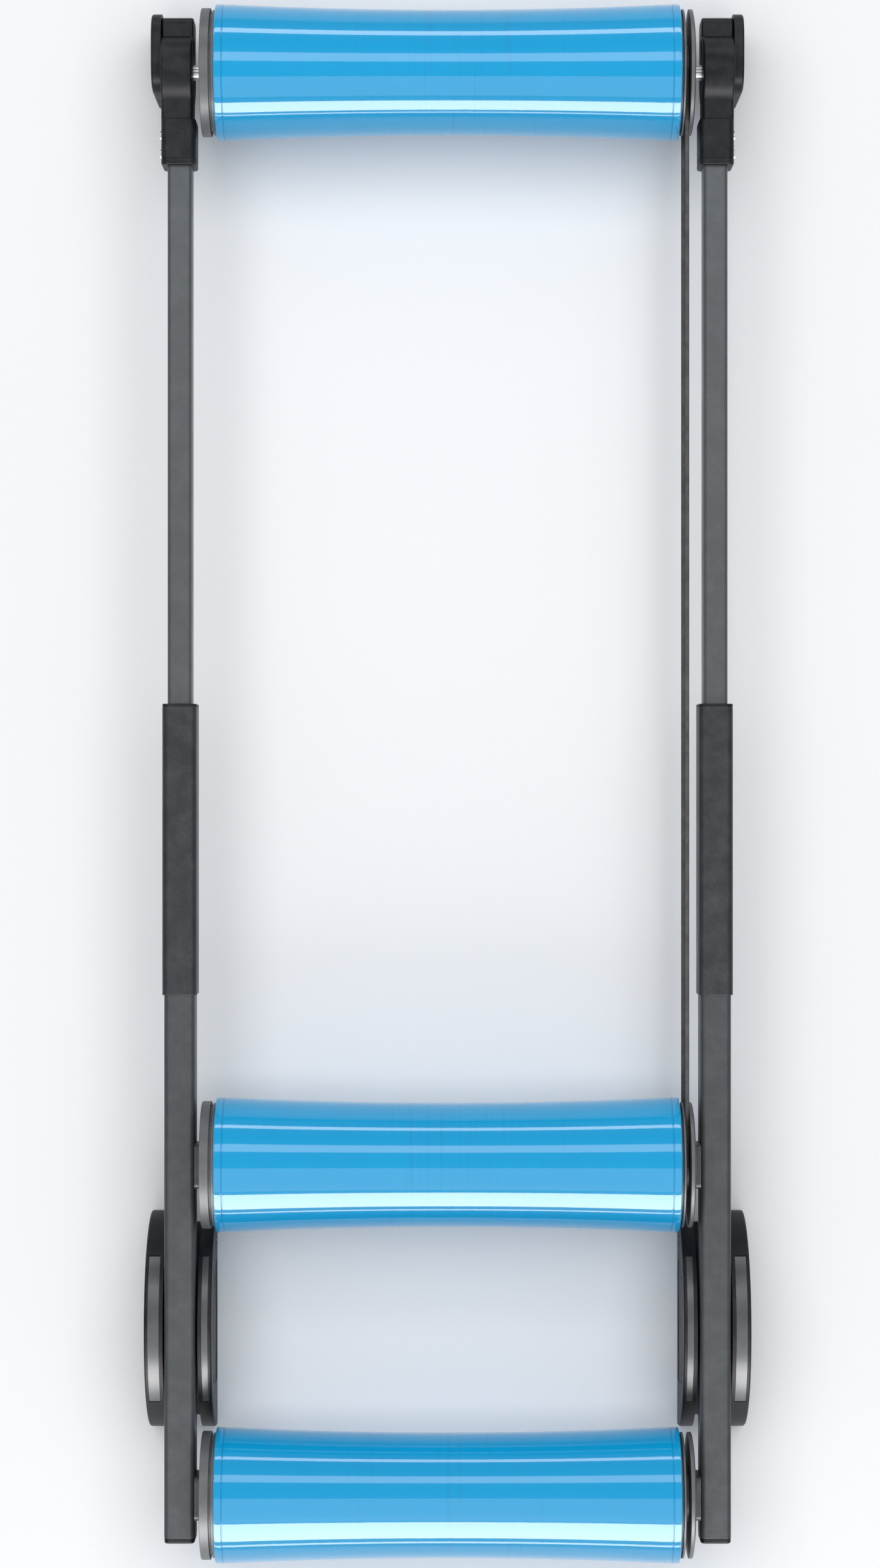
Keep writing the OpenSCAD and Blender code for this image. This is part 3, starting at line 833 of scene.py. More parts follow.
def finishes() -> dict[Slot, Finish]:
    """The finish of each material slot."""
    steel = tint(150, 152, 155)
    rubbed = tint(150, 152, 156)
    return {
        Slot.ROLLER_BLUE: DrumEnamel(
            "Drum blue enamel", (0.0, 0.32, 0.62), (0.0, 0.305, 0.6), mottle=14, contrast=0.2,
            smoothest=0.3, roughest=0.36, coat=0.9, coat_roughness=0.05, sheen=0.08, grain=160, cells=0.1,
            depth=0.01 * MM, strength=0.1,
        ),
        Slot.CAP_GREY: Finish(
            "Moulded cap grey", (0.085, 0.088, 0.094), (0.07, 0.073, 0.078), mottle=40, smoothest=0.38,
            roughest=0.5, grain=1500, cells=0.6, depth=0.04 * MM, strength=0.35, wear=0.35,
            wear_colour=(0.2, 0.2, 0.21), dust=0.08,
        ),
        Slot.BLACK_PLASTIC: Finish(
            "Grained black plastic", (0.006, 0.0065, 0.009), (0.009, 0.01, 0.013), mottle=30,
            smoothest=0.36, roughest=0.5, grain=1400, cells=0.8, depth=0.06 * MM, strength=0.4,
            wear=0.4, wear_colour=(0.06, 0.06, 0.065), wear_width=0.8 * MM, dust=0.03, sheen=0.15,
        ),
        Slot.FRONT_RAIL: Finish(
            "Front rail powder coat", (0.075, 0.082, 0.088), (0.066, 0.072, 0.077), mottle=18,
            smoothest=0.34, roughest=0.46, metallic=0.2, sheen=0.3, grain=700, cells=0.2, depth=0.05 * MM,
            strength=0.3, wear=0.5, wear_colour=rubbed, dust=0.05,
        ),
        Slot.SLEEVE: Finish(
            "Sleeve powder coat", (0.023, 0.026, 0.029), (0.019, 0.022, 0.025), mottle=18, smoothest=0.36,
            roughest=0.48, metallic=0.2, sheen=0.3, grain=700, cells=0.2, depth=0.05 * MM, strength=0.3,
            wear=0.5, wear_colour=rubbed, dust=0.05,
        ),
        Slot.REAR_RAIL: Finish(
            "Rear rail powder coat", (0.05, 0.055, 0.059), (0.043, 0.047, 0.051), mottle=18, smoothest=0.36,
            roughest=0.48, metallic=0.2, sheen=0.3, grain=700, cells=0.2, depth=0.05 * MM, strength=0.3,
            wear=0.5, wear_colour=rubbed, dust=0.05,
        ),
        Slot.BLACK_STEEL: Finish(
            "Blackened steel", (0.02, 0.021, 0.024), (0.032, 0.033, 0.036), mottle=35, contrast=0.6,
            smoothest=0.38, roughest=0.55, metallic=0.6, grain=900, cells=0.3, depth=0.04 * MM,
            strength=0.3, wear=0.7, wear_colour=steel, wear_width=0.6 * MM, dust=0.08,
        ),
        Slot.ZINC: Finish(
            "Zinc-plated steel", (0.56, 0.57, 0.58), (0.46, 0.47, 0.49), mottle=120, contrast=0.7,
            smoothest=0.24, roughest=0.4, metallic=1.0, grain=1200, cells=0.1, depth=0.03 * MM,
            strength=0.25, stretch=(0.15, 1.0, 1.0), wear=0.4, wear_colour=(0.75, 0.75, 0.76),
            wear_width=0.4 * MM,
        ),
        Slot.BEARING: Finish(
            "Ground bearing steel", (0.62, 0.62, 0.63), (0.54, 0.54, 0.56), mottle=90, smoothest=0.14,
            roughest=0.24, metallic=1.0, grain=1600, cells=0.0, depth=0.02 * MM, strength=0.2,
            stretch=(1.0, 0.05, 0.05), wear=0.3, wear_colour=(0.75, 0.75, 0.76), wear_width=0.3 * MM,
        ),
        Slot.BRONZE: Finish(
            "Sintered bronze", (0.48, 0.3, 0.13), (0.38, 0.24, 0.11), mottle=260, contrast=0.8,
            smoothest=0.32, roughest=0.5, metallic=1.0, grain=2200, cells=0.7, depth=0.04 * MM,
            strength=0.4, wear=0.4, wear_colour=(0.65, 0.46, 0.24), wear_width=0.3 * MM,
        ),
        Slot.BELT: Finish(
            "Belt rubber", (0.014, 0.014, 0.015), (0.024, 0.024, 0.025), mottle=50, smoothest=0.5,
            roughest=0.66, grain=1800, cells=0.3, depth=0.05 * MM, strength=0.4,
            stretch=(1.0, 0.3, 1.0), wear=0.3, wear_colour=(0.08, 0.08, 0.085), wear_width=0.5 * MM,
            dust=0.1,
        ),
        Slot.PAD: Finish(
            "Pad rubber", (0.02, 0.02, 0.021), (0.032, 0.032, 0.033), mottle=60, smoothest=0.62,
            roughest=0.78, grain=1600, cells=0.5, depth=0.07 * MM, strength=0.5, wear=0.3,
            wear_colour=(0.09, 0.09, 0.09), dust=0.12,
        ),
    }


# The band's lighter grey is painted reflection of the light on the covers' rounded tops; the covers
# themselves are black plastic.
BAND_REFLECTION_FINISH = Finish(
    "Satin band grey", (0.06, 0.062, 0.067), (0.05, 0.052, 0.056), mottle=45, smoothest=0.26, roughest=0.36,
    grain=1500, cells=0.2, depth=0.02 * MM, strength=0.25, wear=0.3, wear_colour=(0.14, 0.14, 0.15),
    wear_width=0.5 * MM, dust=0.05,
)
FLOOR_FINISH = Finish(
    "Pale floor", (0.8, 0.8, 0.81), (0.785, 0.787, 0.8), mottle=1.2, contrast=0.3, smoothest=0.6,
    roughest=0.7, grain=300, cells=0.0, depth=0.02 * MM, strength=0.05,
)


class Paintbox:
    """Makes each material once and gives it out by slot."""

    def __init__(self) -> None:
        """Makes the shared effects and all the materials."""
        effects = Effects()
        self.by_slot = {slot: finish.make(effects) for slot, finish in finishes().items()}
        # The band material's lighter grey is painted reflection.
        self.band = BAND_REFLECTION_FINISH.make(effects)
        self.floor = FLOOR_FINISH.make(effects)

    def coat_nodes(self, nodes: dict[str, bpy.types.Object]) -> None:
        """Gives every CAD node the finish of the slot that it names."""
        names = {slot.value: slot for slot in Slot}
        for node in nodes.values():
            for holder in node.material_slots:
                slot = names[holder.material.name.split(".")[0]]
                holder.material = self.by_slot[slot]


@dataclass
class Assembly:
    """A sub-assembly whose pieces are modelled, dressed and set on bodies together."""

    paints: Paintbox

    def fit(
        self,
        piece: bpy.types.Object,
        body: str,
        slot: Slot,
        nodes: Sequence[str] = (),
        weighted: bool = True,
        material: bpy.types.Material | None = None,
    ) -> bpy.types.Object:
        """Shades, dresses and sets a finished piece on its body.

        Args:
            piece: The finished piece.
            body: The CAD body that it rides on.
            slot: The record's slot that it takes its finish from.
            nodes: The CAD nodes that it stands for.
            weighted: Whether large faces keep their own direction at rounded edges.
            material: A finish of its own, where it isn't the slot's.

        Returns:
            The piece.
        """
        Bench.smooth(piece, weighted=weighted)
        self.dress(piece, slot, material)
        if nodes:
            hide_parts(*nodes)
        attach(piece, body)
        LOG.info("%s rides on %s, %d faces", piece.name, body, len(piece.data.polygons))
        return piece

    def dress(self, piece: bpy.types.Object, slot: Slot, material: bpy.types.Material | None = None) -> None:
        """Gives a piece its material and names its slot."""
        piece.data.materials.clear()
        piece.data.materials.append(material or self.paints.by_slot[slot])


@dataclass
class Drums(Assembly):
    """The three drums: a waisted shell and two end caps each."""

    waist_drop: float = 5 * MM
    lip: float = 7 * MM
    groove: float = 1.2 * MM
    groove_depth: float = 0.8 * MM
    bore: float = 51 * MM
    curve_steps: int = 48
    cap_depth: float = 17 * MM
    cap_plug: float = 50.9 * MM
    neck: float = 53 * MM
    neck_end: float = 4.7 * MM
    ring: float = 56.5 * MM
    ring_end: float = 2.6 * MM
    flange: float = 58 * MM
    pulley_neck: float = 52 * MM
    pulley_flange: float = 57 * MM
    pulley_floor: float = 24 * MM
    pulley_face: float = 50 * MM
    pulley_starts: tuple[float, float, float, float] = (2 * MM, 4 * MM, 8.4 * MM, 11.8 * MM)
    seat: float = 13 * MM
    eye: float = 9.5 * MM
    seat_end: float = 1 * MM
    dish: tuple[float, float, float] = (20 * MM, 44 * MM, 1.4 * MM)

    def build(self) -> None:
        """Models the middle drum, and the other two from it."""
        box = Extent.of("middle_roller_shell")
        axis = (box.middle.y, box.middle.z)
        half = box.size.x / 2
        radius = box.size.z / 2
        face = Extent.of("middle_roller_pulley_cap").high.x
        pieces = {
            "shell": Bench.lathe("blue_shell_middle", self.shell_outline(half, radius), axis),
            "plain_cap": Bench.lathe("plain_cap_middle", self.plain_outline(half, face), axis),
            "pulley_cap": Bench.lathe("pulley_cap_middle", self.pulley_outline(half, face), axis),
        }
        for place in ("front", "rear"):
            shift = Extent.of(f"{place}_roller_shell").middle - box.middle
            for part, model in pieces.items():
                twin = Bench.copy(model, model.name.replace("middle", place), shift)
                self.finish_part(twin, place, part)
        for part, model in pieces.items():
            self.finish_part(model, "middle", part)

    def finish_part(self, piece: bpy.types.Object, place: str, part: str) -> None:
        """Dresses one part of one drum."""
        slot = Slot.ROLLER_BLUE if part == "shell" else Slot.CAP_GREY
        self.fit(piece, f"{place}_roller", slot, [f"{place}_roller_{part}"], weighted=part != "shell")

    def shell_outline(self, half: float, radius: float) -> list[Point]:
        """The shell's outline: a long waist, a groove near each end and a plain lip.

        Args:
            half: Half of the shell's length.
            radius: Its radius at the ends.

        Returns:
            Points as (x, radius), closed along the bore.
        """
        curve_end = half - self.lip - self.groove
        floor = radius - self.groove_depth
        waist = radius - self.waist_drop
        curve = []
        for index in range(self.curve_steps + 1):
            share = 2 * index / self.curve_steps - 1
            curve.append((curve_end * share, waist + self.waist_drop * share * share))
        end = rounded(
            [
                (curve_end, radius, 0.3 * MM),
                (curve_end + 0.2 * MM, floor, 0.2 * MM),
                (curve_end + self.groove - 0.2 * MM, floor, 0.2 * MM),
                (curve_end + self.groove, radius, 0.3 * MM),
                (half, radius, 1.2 * MM),
                (half, self.bore, 0.4 * MM),
            ]
        )
        far = [(-x, r) for x, r in reversed(end)]
        return far + curve[1:-1] + end

    def plain_outline(self, half: float, face: float) -> list[Point]:
        """The plain cap on the left: plug, ring, neck, flange and a dished face.

        Args:
            half: Half of the shell's length.
            face: How far out the cap's face lies.

        Returns:
            Points as (x, radius).
        """
        inner, outer, depth = self.dish
        corners = [
            (half - self.cap_depth, self.seat, 0),
            (half - self.cap_depth, self.cap_plug, 0.6 * MM),
            (half, self.cap_plug, 0),
            (half, self.ring, 0),
            (half + self.ring_end, self.ring, 0.5 * MM),
            (half + self.ring_end, self.neck, 0.4 * MM),
            (half + self.neck_end, self.neck, 0.4 * MM),
            (half + self.neck_end, self.flange, 0.5 * MM),
            (face, self.flange, 0.8 * MM),
            (face, outer, 0.5 * MM),
            (face - depth, outer - 0.6 * MM, 0.6 * MM),
            (face - depth, inner + 0.6 * MM, 0.6 * MM),
            (face, inner, 0.5 * MM),
            (face, self.eye, 0.5 * MM),
            (half - self.seat_end, self.eye, 0),
            (half - self.seat_end, self.seat, 0),
        ]
        return [(-x, r) for x, r in rounded(corners)]

    def pulley_outline(self, half: float, face: float) -> list[Point]:
        """The cap on the right, whose two flanges hold the belt's deep groove.

        Args:
            half: Half of the shell's length.
            face: How far out the cap's face lies.

        Returns:
            Points as (x, radius).
        """
        first, second, third, fourth = (half + start for start in self.pulley_starts)
        corners = [
            (half - self.cap_depth, self.seat, 0),
            (half - self.cap_depth, self.cap_plug, 0.6 * MM),
            (half, self.cap_plug, 0),
            (half, self.pulley_neck, 0.3 * MM),
            (first, self.pulley_neck, 0.3 * MM),
            (first, self.pulley_flange, 0.6 * MM),
            (second, self.pulley_flange, 0.6 * MM),
            (second, self.pulley_floor, 0.3 * MM),
            (third, self.pulley_floor, 0.3 * MM),
            (third, self.pulley_flange, 0.6 * MM),
            (fourth, self.pulley_flange, 0.8 * MM),
            (face, self.pulley_face, 0.8 * MM),
            (face, self.eye, 0.5 * MM),
            (half - self.seat_end, self.eye, 0),
            (half - self.seat_end, self.seat, 0),
        ]
        return rounded(corners)


@dataclass
class Rails(Assembly):
    """The telescopic rails: rear tubes, sleeves, front tubes, their plugs and collars."""

    wall: float = 1.6 * MM
    rear_corner: float = 5 * MM
    front_corner: float = 4 * MM
    sleeve_corner: float = 6.2 * MM
    sleeve_wall: float = 1.5 * MM
    boss_height: float = 6 * MM
    boss_radius: float = 8 * MM
    boss_depth: float = 4 * MM
    boss_steps: int = 48
    boss_fillet: float = 1.2 * MM
    boss_edge: float = 0.5 * MM
    lock_head: float = 5 * MM
    screw_hole: float = 3.1 * MM
    collar_gap: float = 3.9 * MM
    liner_inset: float = 1.7 * MM
    liner_corner: float = 4.5 * MM
    liner_wall: float = 2.2 * MM
    plug_head: float = 5 * MM
    plug_slack: float = 0.2 * MM
    plug_dish: float = 4 * MM
    stem_slack: float = 2.5 * MM

    def build(self) -> None:
        """Models the right-hand rail's pieces, and mirrors them to the left."""
        rear = Extent.of("rear_tube_right")
        sleeve = Extent.of("sleeve_right")
        front = Extent.of("front_tube_right")
        sleeve_low = sleeve.low + Vector((0, 0, self.boss_height))
        tubes = {
            "rear_rail_tube": (rear.low, rear.high, self.rear_corner, self.wall),
            "rail_sleeve": (sleeve_low, sleeve.high, self.sleeve_corner, self.sleeve_wall),
            "front_rail_tube": (front.low, front.high, self.front_corner, self.wall),
        }
        jobs = {
            "rear_rail_tube": ("rear_frame", Slot.REAR_RAIL, "rear_tube"),
            "rail_sleeve": ("sleeves", Slot.SLEEVE, "sleeve"),
            "front_rail_tube": ("front_frame", Slot.FRONT_RAIL, "front_tube"),
        }
        for name, (low, high, corner, wall) in tubes.items():
            body, slot, node = jobs[name]
            model = self.tube(f"{name}_right", low, high, corner, wall)
            if name == "rail_sleeve":
                self.add_bosses(model, rear.middle.x, sleeve_low.z)
            twin = Bench.copy(model, f"{name}_left", (0, 0, 0), flip=True)
            self.fit(model, body, slot, [f"{node}_right"])
            self.fit(twin, body, slot, [f"{node}_left"])
        self.build_plugs(rear)
        self.build_collars(sleeve_low, sleeve.high)

    def tube(
        self, name: str, low: Vector, high: Vector, corner: float, wall: float, ends: float = 0.4 * MM
    ) -> bpy.types.Object:
        """A rectangular tube along Y with round corners and softened ends.

        Args:
            name: The tube's name.
            low: Its lowest corner.
            high: Its highest corner.
            corner: The radius of its long edges.
            wall: The thickness of its wall.
            ends: The rounding of its two ends.

        Returns:
            The tube.
        """
        tube = Bench.block(name, low, high)
        Bench.bevel(tube, corner, 6, runs_along_y)
        Bench.edit(tube)
        Bench.pick(tube, Kind.FACE, lambda face: abs(face.normal.y) > 0.9)
        bpy.ops.mesh.delete(type="FACE")
        bpy.ops.object.mode_set(mode="OBJECT")
        modifier = tube.modifiers.new("wall", "SOLIDIFY")
        modifier.thickness = wall
        modifier.offset = -1
        bpy.ops.object.modifier_apply(modifier=modifier.name)
        tube_ends = (low.y, high.y)
        Bench.bevel(tube, ends, 2, lambda edge: lies_at_y(edge, tube_ends) and is_sharp(edge))
        return tube

    def add_bosses(self, sleeve: bpy.types.Object, rail: float, floor: float) -> None:
        """Welds the lock screws' bosses under a sleeve.

        Args:
            sleeve: The sleeve on the right.
            rail: The X of the rail's centre line.
            floor: The height of the sleeve's underside.
        """
        screws = Extent.of("length_lock_screws")
        for y in (screws.low.y + self.lock_head, screws.high.y - self.lock_head):
            Bench.clear()
            bpy.ops.mesh.primitive_cylinder_add(
                vertices=self.boss_steps,
                radius=self.boss_radius,
                depth=self.boss_height,
                location=(rail, y, floor - self.boss_height / 2),
            )
            boss = Bench.settle("boss")
            Bench.edit(boss)
            Bench.pick(boss, Kind.FACE, lambda face: face.normal.z < -0.9)
            bpy.ops.mesh.inset(thickness=self.boss_radius - self.screw_hole, depth=0)
            bpy.ops.mesh.extrude_region_move(TRANSFORM_OT_translate={"value": (0, 0, self.boss_depth)})
            for height, width, segments in (
                (floor, self.boss_fillet, 3),
                (floor - self.boss_height, self.boss_edge, 2),
            ):
                Bench.pick(boss, Kind.EDGE, lambda edge: lies_at_z(edge, height) and is_sharp(edge))
                bpy.ops.mesh.bevel(offset=width, segments=segments, affect="EDGES")
            bpy.ops.object.mode_set(mode="OBJECT")
            Bench.join([sleeve, boss])

    def build_plugs(self, rear: Extent) -> None:
        """The plastic plugs in the rear ends of the rear tubes."""
        node = Extent.of("rear_tube_caps")
        slack = self.plug_slack
        low = Vector((rear.low.x + slack, node.low.y, rear.low.z + slack))
        high = Vector((rear.high.x - slack, node.low.y + self.plug_head, rear.high.z - slack))
        plug = Bench.block("tube_plug_right", low, high)
        Bench.bevel(plug, self.rear_corner, 6, runs_along_y)
        Bench.bevel(plug, 1.8 * MM, 4, lambda edge: lies_at_y(edge, (low.y,)) and is_sharp(edge))
        Bench.edit(plug)
        Bench.pick(plug, Kind.FACE, lambda face: face.normal.y < -STRAIGHT)
        bpy.ops.mesh.inset(thickness=self.plug_dish, depth=0)
        bpy.ops.mesh.inset(thickness=0.6 * MM, depth=-0.8 * MM)
        bpy.ops.object.mode_set(mode="OBJECT")
        slack = self.stem_slack
        stem = Bench.block(
            "stem",
            (low.x + slack, high.y - 1 * MM, low.z + slack),
            (high.x - slack, node.high.y, high.z - slack),
        )
        Bench.bevel(stem, 3 * MM, 4, runs_along_y)
        Bench.join([plug, stem])
        twin = Bench.copy(plug, "tube_plug_left", (0, 0, 0), flip=True)
        for piece in (plug, twin):
            self.fit(piece, "rear_frame", Slot.BLACK_PLASTIC, ["rear_tube_caps"])

    def build_collars(self, low: Vector, high: Vector) -> None:
        """The collars that guide the front tubes in the mouths of the sleeves.

        Args:
            low: The lowest corner of the right sleeve's tube.
            high: Its highest corner.
        """
        node = Extent.of("guide_bushes")
        inset = self.liner_inset
        flange = self.tube(
            "sleeve_collar_right",
            Vector((low.x, high.y, low.z)),
            Vector((high.x, node.high.y, high.z)),
            self.sleeve_corner,
            self.collar_gap,
            ends=0.9 * MM,
        )
        inner = self.tube(
            "liner",
            Vector((low.x + inset, node.low.y, low.z + inset)),
            Vector((high.x - inset, high.y + 0.5 * MM, high.z - inset)),
            self.liner_corner,
            self.liner_wall,
        )
        Bench.join([flange, inner])
        twin = Bench.copy(flange, "sleeve_collar_left", (0, 0, 0), flip=True)
        for piece in (flange, twin):
            self.fit(piece, "sleeves", Slot.BLACK_PLASTIC, ["guide_bushes"])


@dataclass
class ScrewHeads(Assembly):
    """Round socket screws, modelled once and copied to every place."""

    head: float = 4 * MM
    height: float = 1.7 * MM
    socket: float = 2 * MM

    def model(self) -> bpy.types.Object:
        """One screw head that faces +X, with its underside at X = 0.

        Returns:
            The head, with a rounded rim and a hexagonal socket.
        """
        head = Bench.drum("screw_head", (0, 0, 0), self.height, self.head, 32)
        Bench.bevel(head, 0.6 * MM, 3, lambda edge: lies_at_x(edge, self.height) and is_sharp(edge))
        socket = Bench.drum("socket", (self.height - 1.2 * MM, 0, 0), 2 * MM, self.socket, 6)
        Bench.combine(head, socket, Cut.DIFFERENCE)
        return head

    def scatter(self, name: str, places: Sequence[Vector], faces: Sequence[int]) -> bpy.types.Object:
        """Copies the screw head to many places and joins the copies.

        Args:
            name: The joined piece's name.
            places: The middle of each head's underside.
            faces: The sign of X that each head faces.

        Returns:
            The joined piece.
        """
        model = self.model()
        copies = [
            Bench.copy(model, f"{name}_{index}", place, flip=face < 0)
            for index, (place, face) in enumerate(zip(places, faces))
        ]
        bpy.data.objects.remove(model, do_unlink=True)
        piece = Bench.join(copies)
        piece.name = name
        piece.data.name = name
        return piece


@dataclass
class RearFeet(Assembly):
    """The rear feet: an outer and an inner cover a side, their bands, screws and pads."""

    rim: float = 3.5 * MM
    face: float = 2 * MM
    band_angle: float = 42
    band_margin: float = 3 * MM
    band_depth: float = 1 * MM
    inlay_gap: float = 0.25 * MM
    rounding: float = 2 * MM
    screw_places: tuple[Point, ...] = ((74, 18), (48, 66), (-48, 66), (-74, 18))
    counterbore: float = 4.2 * MM
    post: float = 5.5 * MM
    post_length: float = 5 * MM
    drill_steps: int = 32
    panel_axis: float = 14 * MM
    panel_radius: float = 62 * MM
    panel_angle: float = 66
    panel_low: float = 12 * MM
    panel_depth: float = 0.7 * MM
    pad_y: float = 67.5 * MM
    pad_size: Point = (56 * MM, 35 * MM)
    plate: float = field(init=False, default=0.0)
    rail: float = field(init=False, default=0.0)
    floor: float = field(init=False, default=0.0)
    middle: float = field(init=False, default=0.0)
    radius: float = field(init=False, default=0.0)
    depths: dict[int, float] = field(init=False, default_factory=dict)

    def build(self) -> None:
        """Models each cover once and sets it on both sides."""
        outer = Extent.of("outer_cover_right")
        inner = Extent.of("inner_cover_right")
        self.rail = Extent.of("rear_tube_right").middle.x
        self.plate = outer.low.x - self.rail
        self.floor = outer.low.z
        self.middle = outer.middle.y
        self.radius = outer.size.y / 2
        self.depths = {1: outer.size.x, -1: inner.size.x}
        self.build_cover("outer_cover", 1)
        self.build_cover("inner_cover", -1)
        self.build_screws()
        self.build_pads()

    def build_cover(self, name: str, sign: int) -> None:
        """One half-moon cover, drawn outwards from its side plate, and its band's inlay.

        Args:
            name: The cover's name, which is also that of its CAD nodes.
            sign: 1 on the outer side of the rail, -1 on the inner side.
        """
        depth = self.depths[sign]
        start, stop = self.plate, self.plate + depth
        cover = Bench.slab(name, arc((self.middle, self.floor), self.radius, -90, 90), start, stop)
        Bench.bevel(cover, self.rounding, 4, lambda edge: lies_at_x(edge, stop))
        band = (start + self.band_margin, stop - self.band_margin)
        self.recess_band(cover, band)
        self.hollow(cover, start, depth)
        self.drill(cover, stop)
        self.add_face_panel(cover, stop)
        inlay = self.inlay(f"{name}_band", band)
        for side in Side:
            flip = side.value * sign < 0
            shift = (side.value * self.rail, 0, 0)
            label = side.name.lower()
            twin = Bench.copy(cover, f"{name}_shell_{label}", shift, flip)
            self.fit(twin, "rear_feet", Slot.BLACK_PLASTIC, [f"{name}_{label}"])
            # Each strip's lighter grey is a painted reflection on the cover's top.
            strip = Bench.copy(inlay, f"{name}_band_{label}", shift, flip)
            self.fit(strip, "rear_feet", Slot.BLACK_PLASTIC, material=self.paints.band)
        for model in (cover, inlay):
            bpy.data.objects.remove(model, do_unlink=True)

    def in_band(self, face: bmesh.types.BMFace, band: Point) -> bool:
        """Whether a face of the rim lies in the band."""
        centre = face.calc_center_median()
        from_axis = Vector((centre.y - self.middle, centre.z - self.floor))
        angle = math.degrees(math.atan2(abs(from_axis.x), from_axis.y))
        outward = abs(from_axis.length - self.radius) < 0.5 * MM and abs(face.normal.x) < 0.1
        return outward and angle < self.band_angle and band[0] < centre.x < band[1]

    def recess_band(self, cover: bpy.types.Object, band: Point) -> None:
        """Lets the shallow band into the top of a cover's rim."""
        Bench.edit(cover)
        for place in band:
            Bench.split_at(cover, (place, 0, 0), (1, 0, 0))
        Bench.pick(cover, Kind.FACE, lambda face: self.in_band(face, band))
        bpy.ops.mesh.extrude_region_move(TRANSFORM_OT_translate={"value": (0, 0, 0)})
        ratio = 1 - self.band_depth / self.radius
        bpy.ops.transform.resize(value=(1, ratio, ratio), center_override=(0, self.middle, self.floor))
        bpy.ops.object.mode_set(mode="OBJECT")

    def hollow(self, cover: bpy.types.Object, start: float, depth: float) -> None:
        """Hollows a cover from the side that meets its plate."""
        Bench.edit(cover)
        Bench.pick(cover, Kind.FACE, lambda face: lies_flat_at_x(face, start))
        bpy.ops.mesh.inset(thickness=self.rim, depth=0)
        bpy.ops.mesh.extrude_region_move(TRANSFORM_OT_translate={"value": (depth - self.face, 0, 0)})
        bpy.ops.object.mode_set(mode="OBJECT")

    def drill(self, cover: bpy.types.Object, stop: float) -> None:
        """Cuts the counterbores of the four screws into a cover's face and sets their seats.

        Args:
            cover: The cover.
            stop: The X of its face.
        """
        back = stop - self.face
        reach = 4 * MM
        for y, z in self.screw_places:
            across = (self.middle + y * MM, z * MM)
            post = Bench.drum("post", (back - reach, *across), self.post_length, self.post, self.drill_steps)
            Bench.combine(cover, post, Cut.UNION)
            hole = Bench.drum("hole", (back, *across), reach, self.counterbore, self.drill_steps)
            Bench.combine(cover, hole, Cut.DIFFERENCE)

    def add_face_panel(self, cover: bpy.types.Object, stop: float) -> None:
        """Sinks a plain arched panel into the middle of a cover's face."""
        angle = self.panel_angle
        points = arc((self.middle, self.panel_axis), self.panel_radius, -angle, angle, 6)
        first, last = ((points[end][0], self.panel_low, 5 * MM) for end in (0, -1))
        corners = [first, *[(y, z, 0) for y, z in points], last]
        floor = stop - self.panel_depth
        panel = Bench.slab("panel", rounded(corners), floor, stop + 1 * MM)
        Bench.bevel(panel, 0.5 * MM, 2, lambda edge: lies_at_x(edge, floor) and is_sharp(edge))
        Bench.combine(cover, panel, Cut.DIFFERENCE)

    def inlay(self, name: str, band: Point) -> bpy.types.Object:
        """The satin strip that lies in the band's recess; its lighter grey is a painted reflection of the
        light on the cover's rounded top.

        Args:
            name: The strip's name.
            band: The two sides of the recess, in X.

        Returns:
            The strip.
        """
        floor = self.radius - self.band_depth
        angle = self.band_angle - 0.3
        axis = (self.middle, self.floor)
        top = arc(axis, floor + 0.6 * MM, -angle, angle)
        under = arc(axis, floor - 0.2 * MM, angle, -angle)
        low, high = band[0] + self.inlay_gap, band[1] - self.inlay_gap
        strip = Bench.slab(name, top + under, low, high)

        def on_top_rim(edge: bmesh.types.BMEdge) -> bool:
            """Whether an edge lies along one of the strip's two upper rims."""
            away = [Vector((vert.co.y - axis[0], vert.co.z - axis[1])).length for vert in edge.verts]
            return min(away) > floor + 0.5 * MM and is_sharp(edge)

        Bench.bevel(strip, 0.35 * MM, 2, on_top_rim)
        return strip

    def build_screws(self) -> None:
        """The screws that hold the covers."""
        places: list[Vector] = []
        signs: list[int] = []
        for side in Side:
            for sign, depth in self.depths.items():
                facing = side.value * sign
                x = side.value * self.rail + facing * (self.plate + depth - self.face)
                for y, z in self.screw_places:
                    places.append(Vector((x, self.middle + y * MM, z * MM)))
                    signs.append(facing)
        screws = ScrewHeads(self.paints).scatter("cover_screw_heads", places, signs)
        self.fit(screws, "rear_feet", Slot.ZINC, ["cover_screws"])

    def build_pads(self) -> None:
        """The rubber pads under the feet, with a ribbed rim."""
        pads = []
        model = rubber_pad("pad", self.pad_size, self.floor)
        for side in Side:
            for shift in (-self.pad_y, self.pad_y):
                place = (side.value * self.rail, self.middle + shift, 0)
                pads.append(Bench.copy(model, f"rear_pad_{len(pads)}", place))
        bpy.data.objects.remove(model, do_unlink=True)
        piece = Bench.join(pads)
        piece.name = "rear_rubber_pads"
        self.fit(piece, "rear_feet", Slot.PAD, ["rear_pads"])


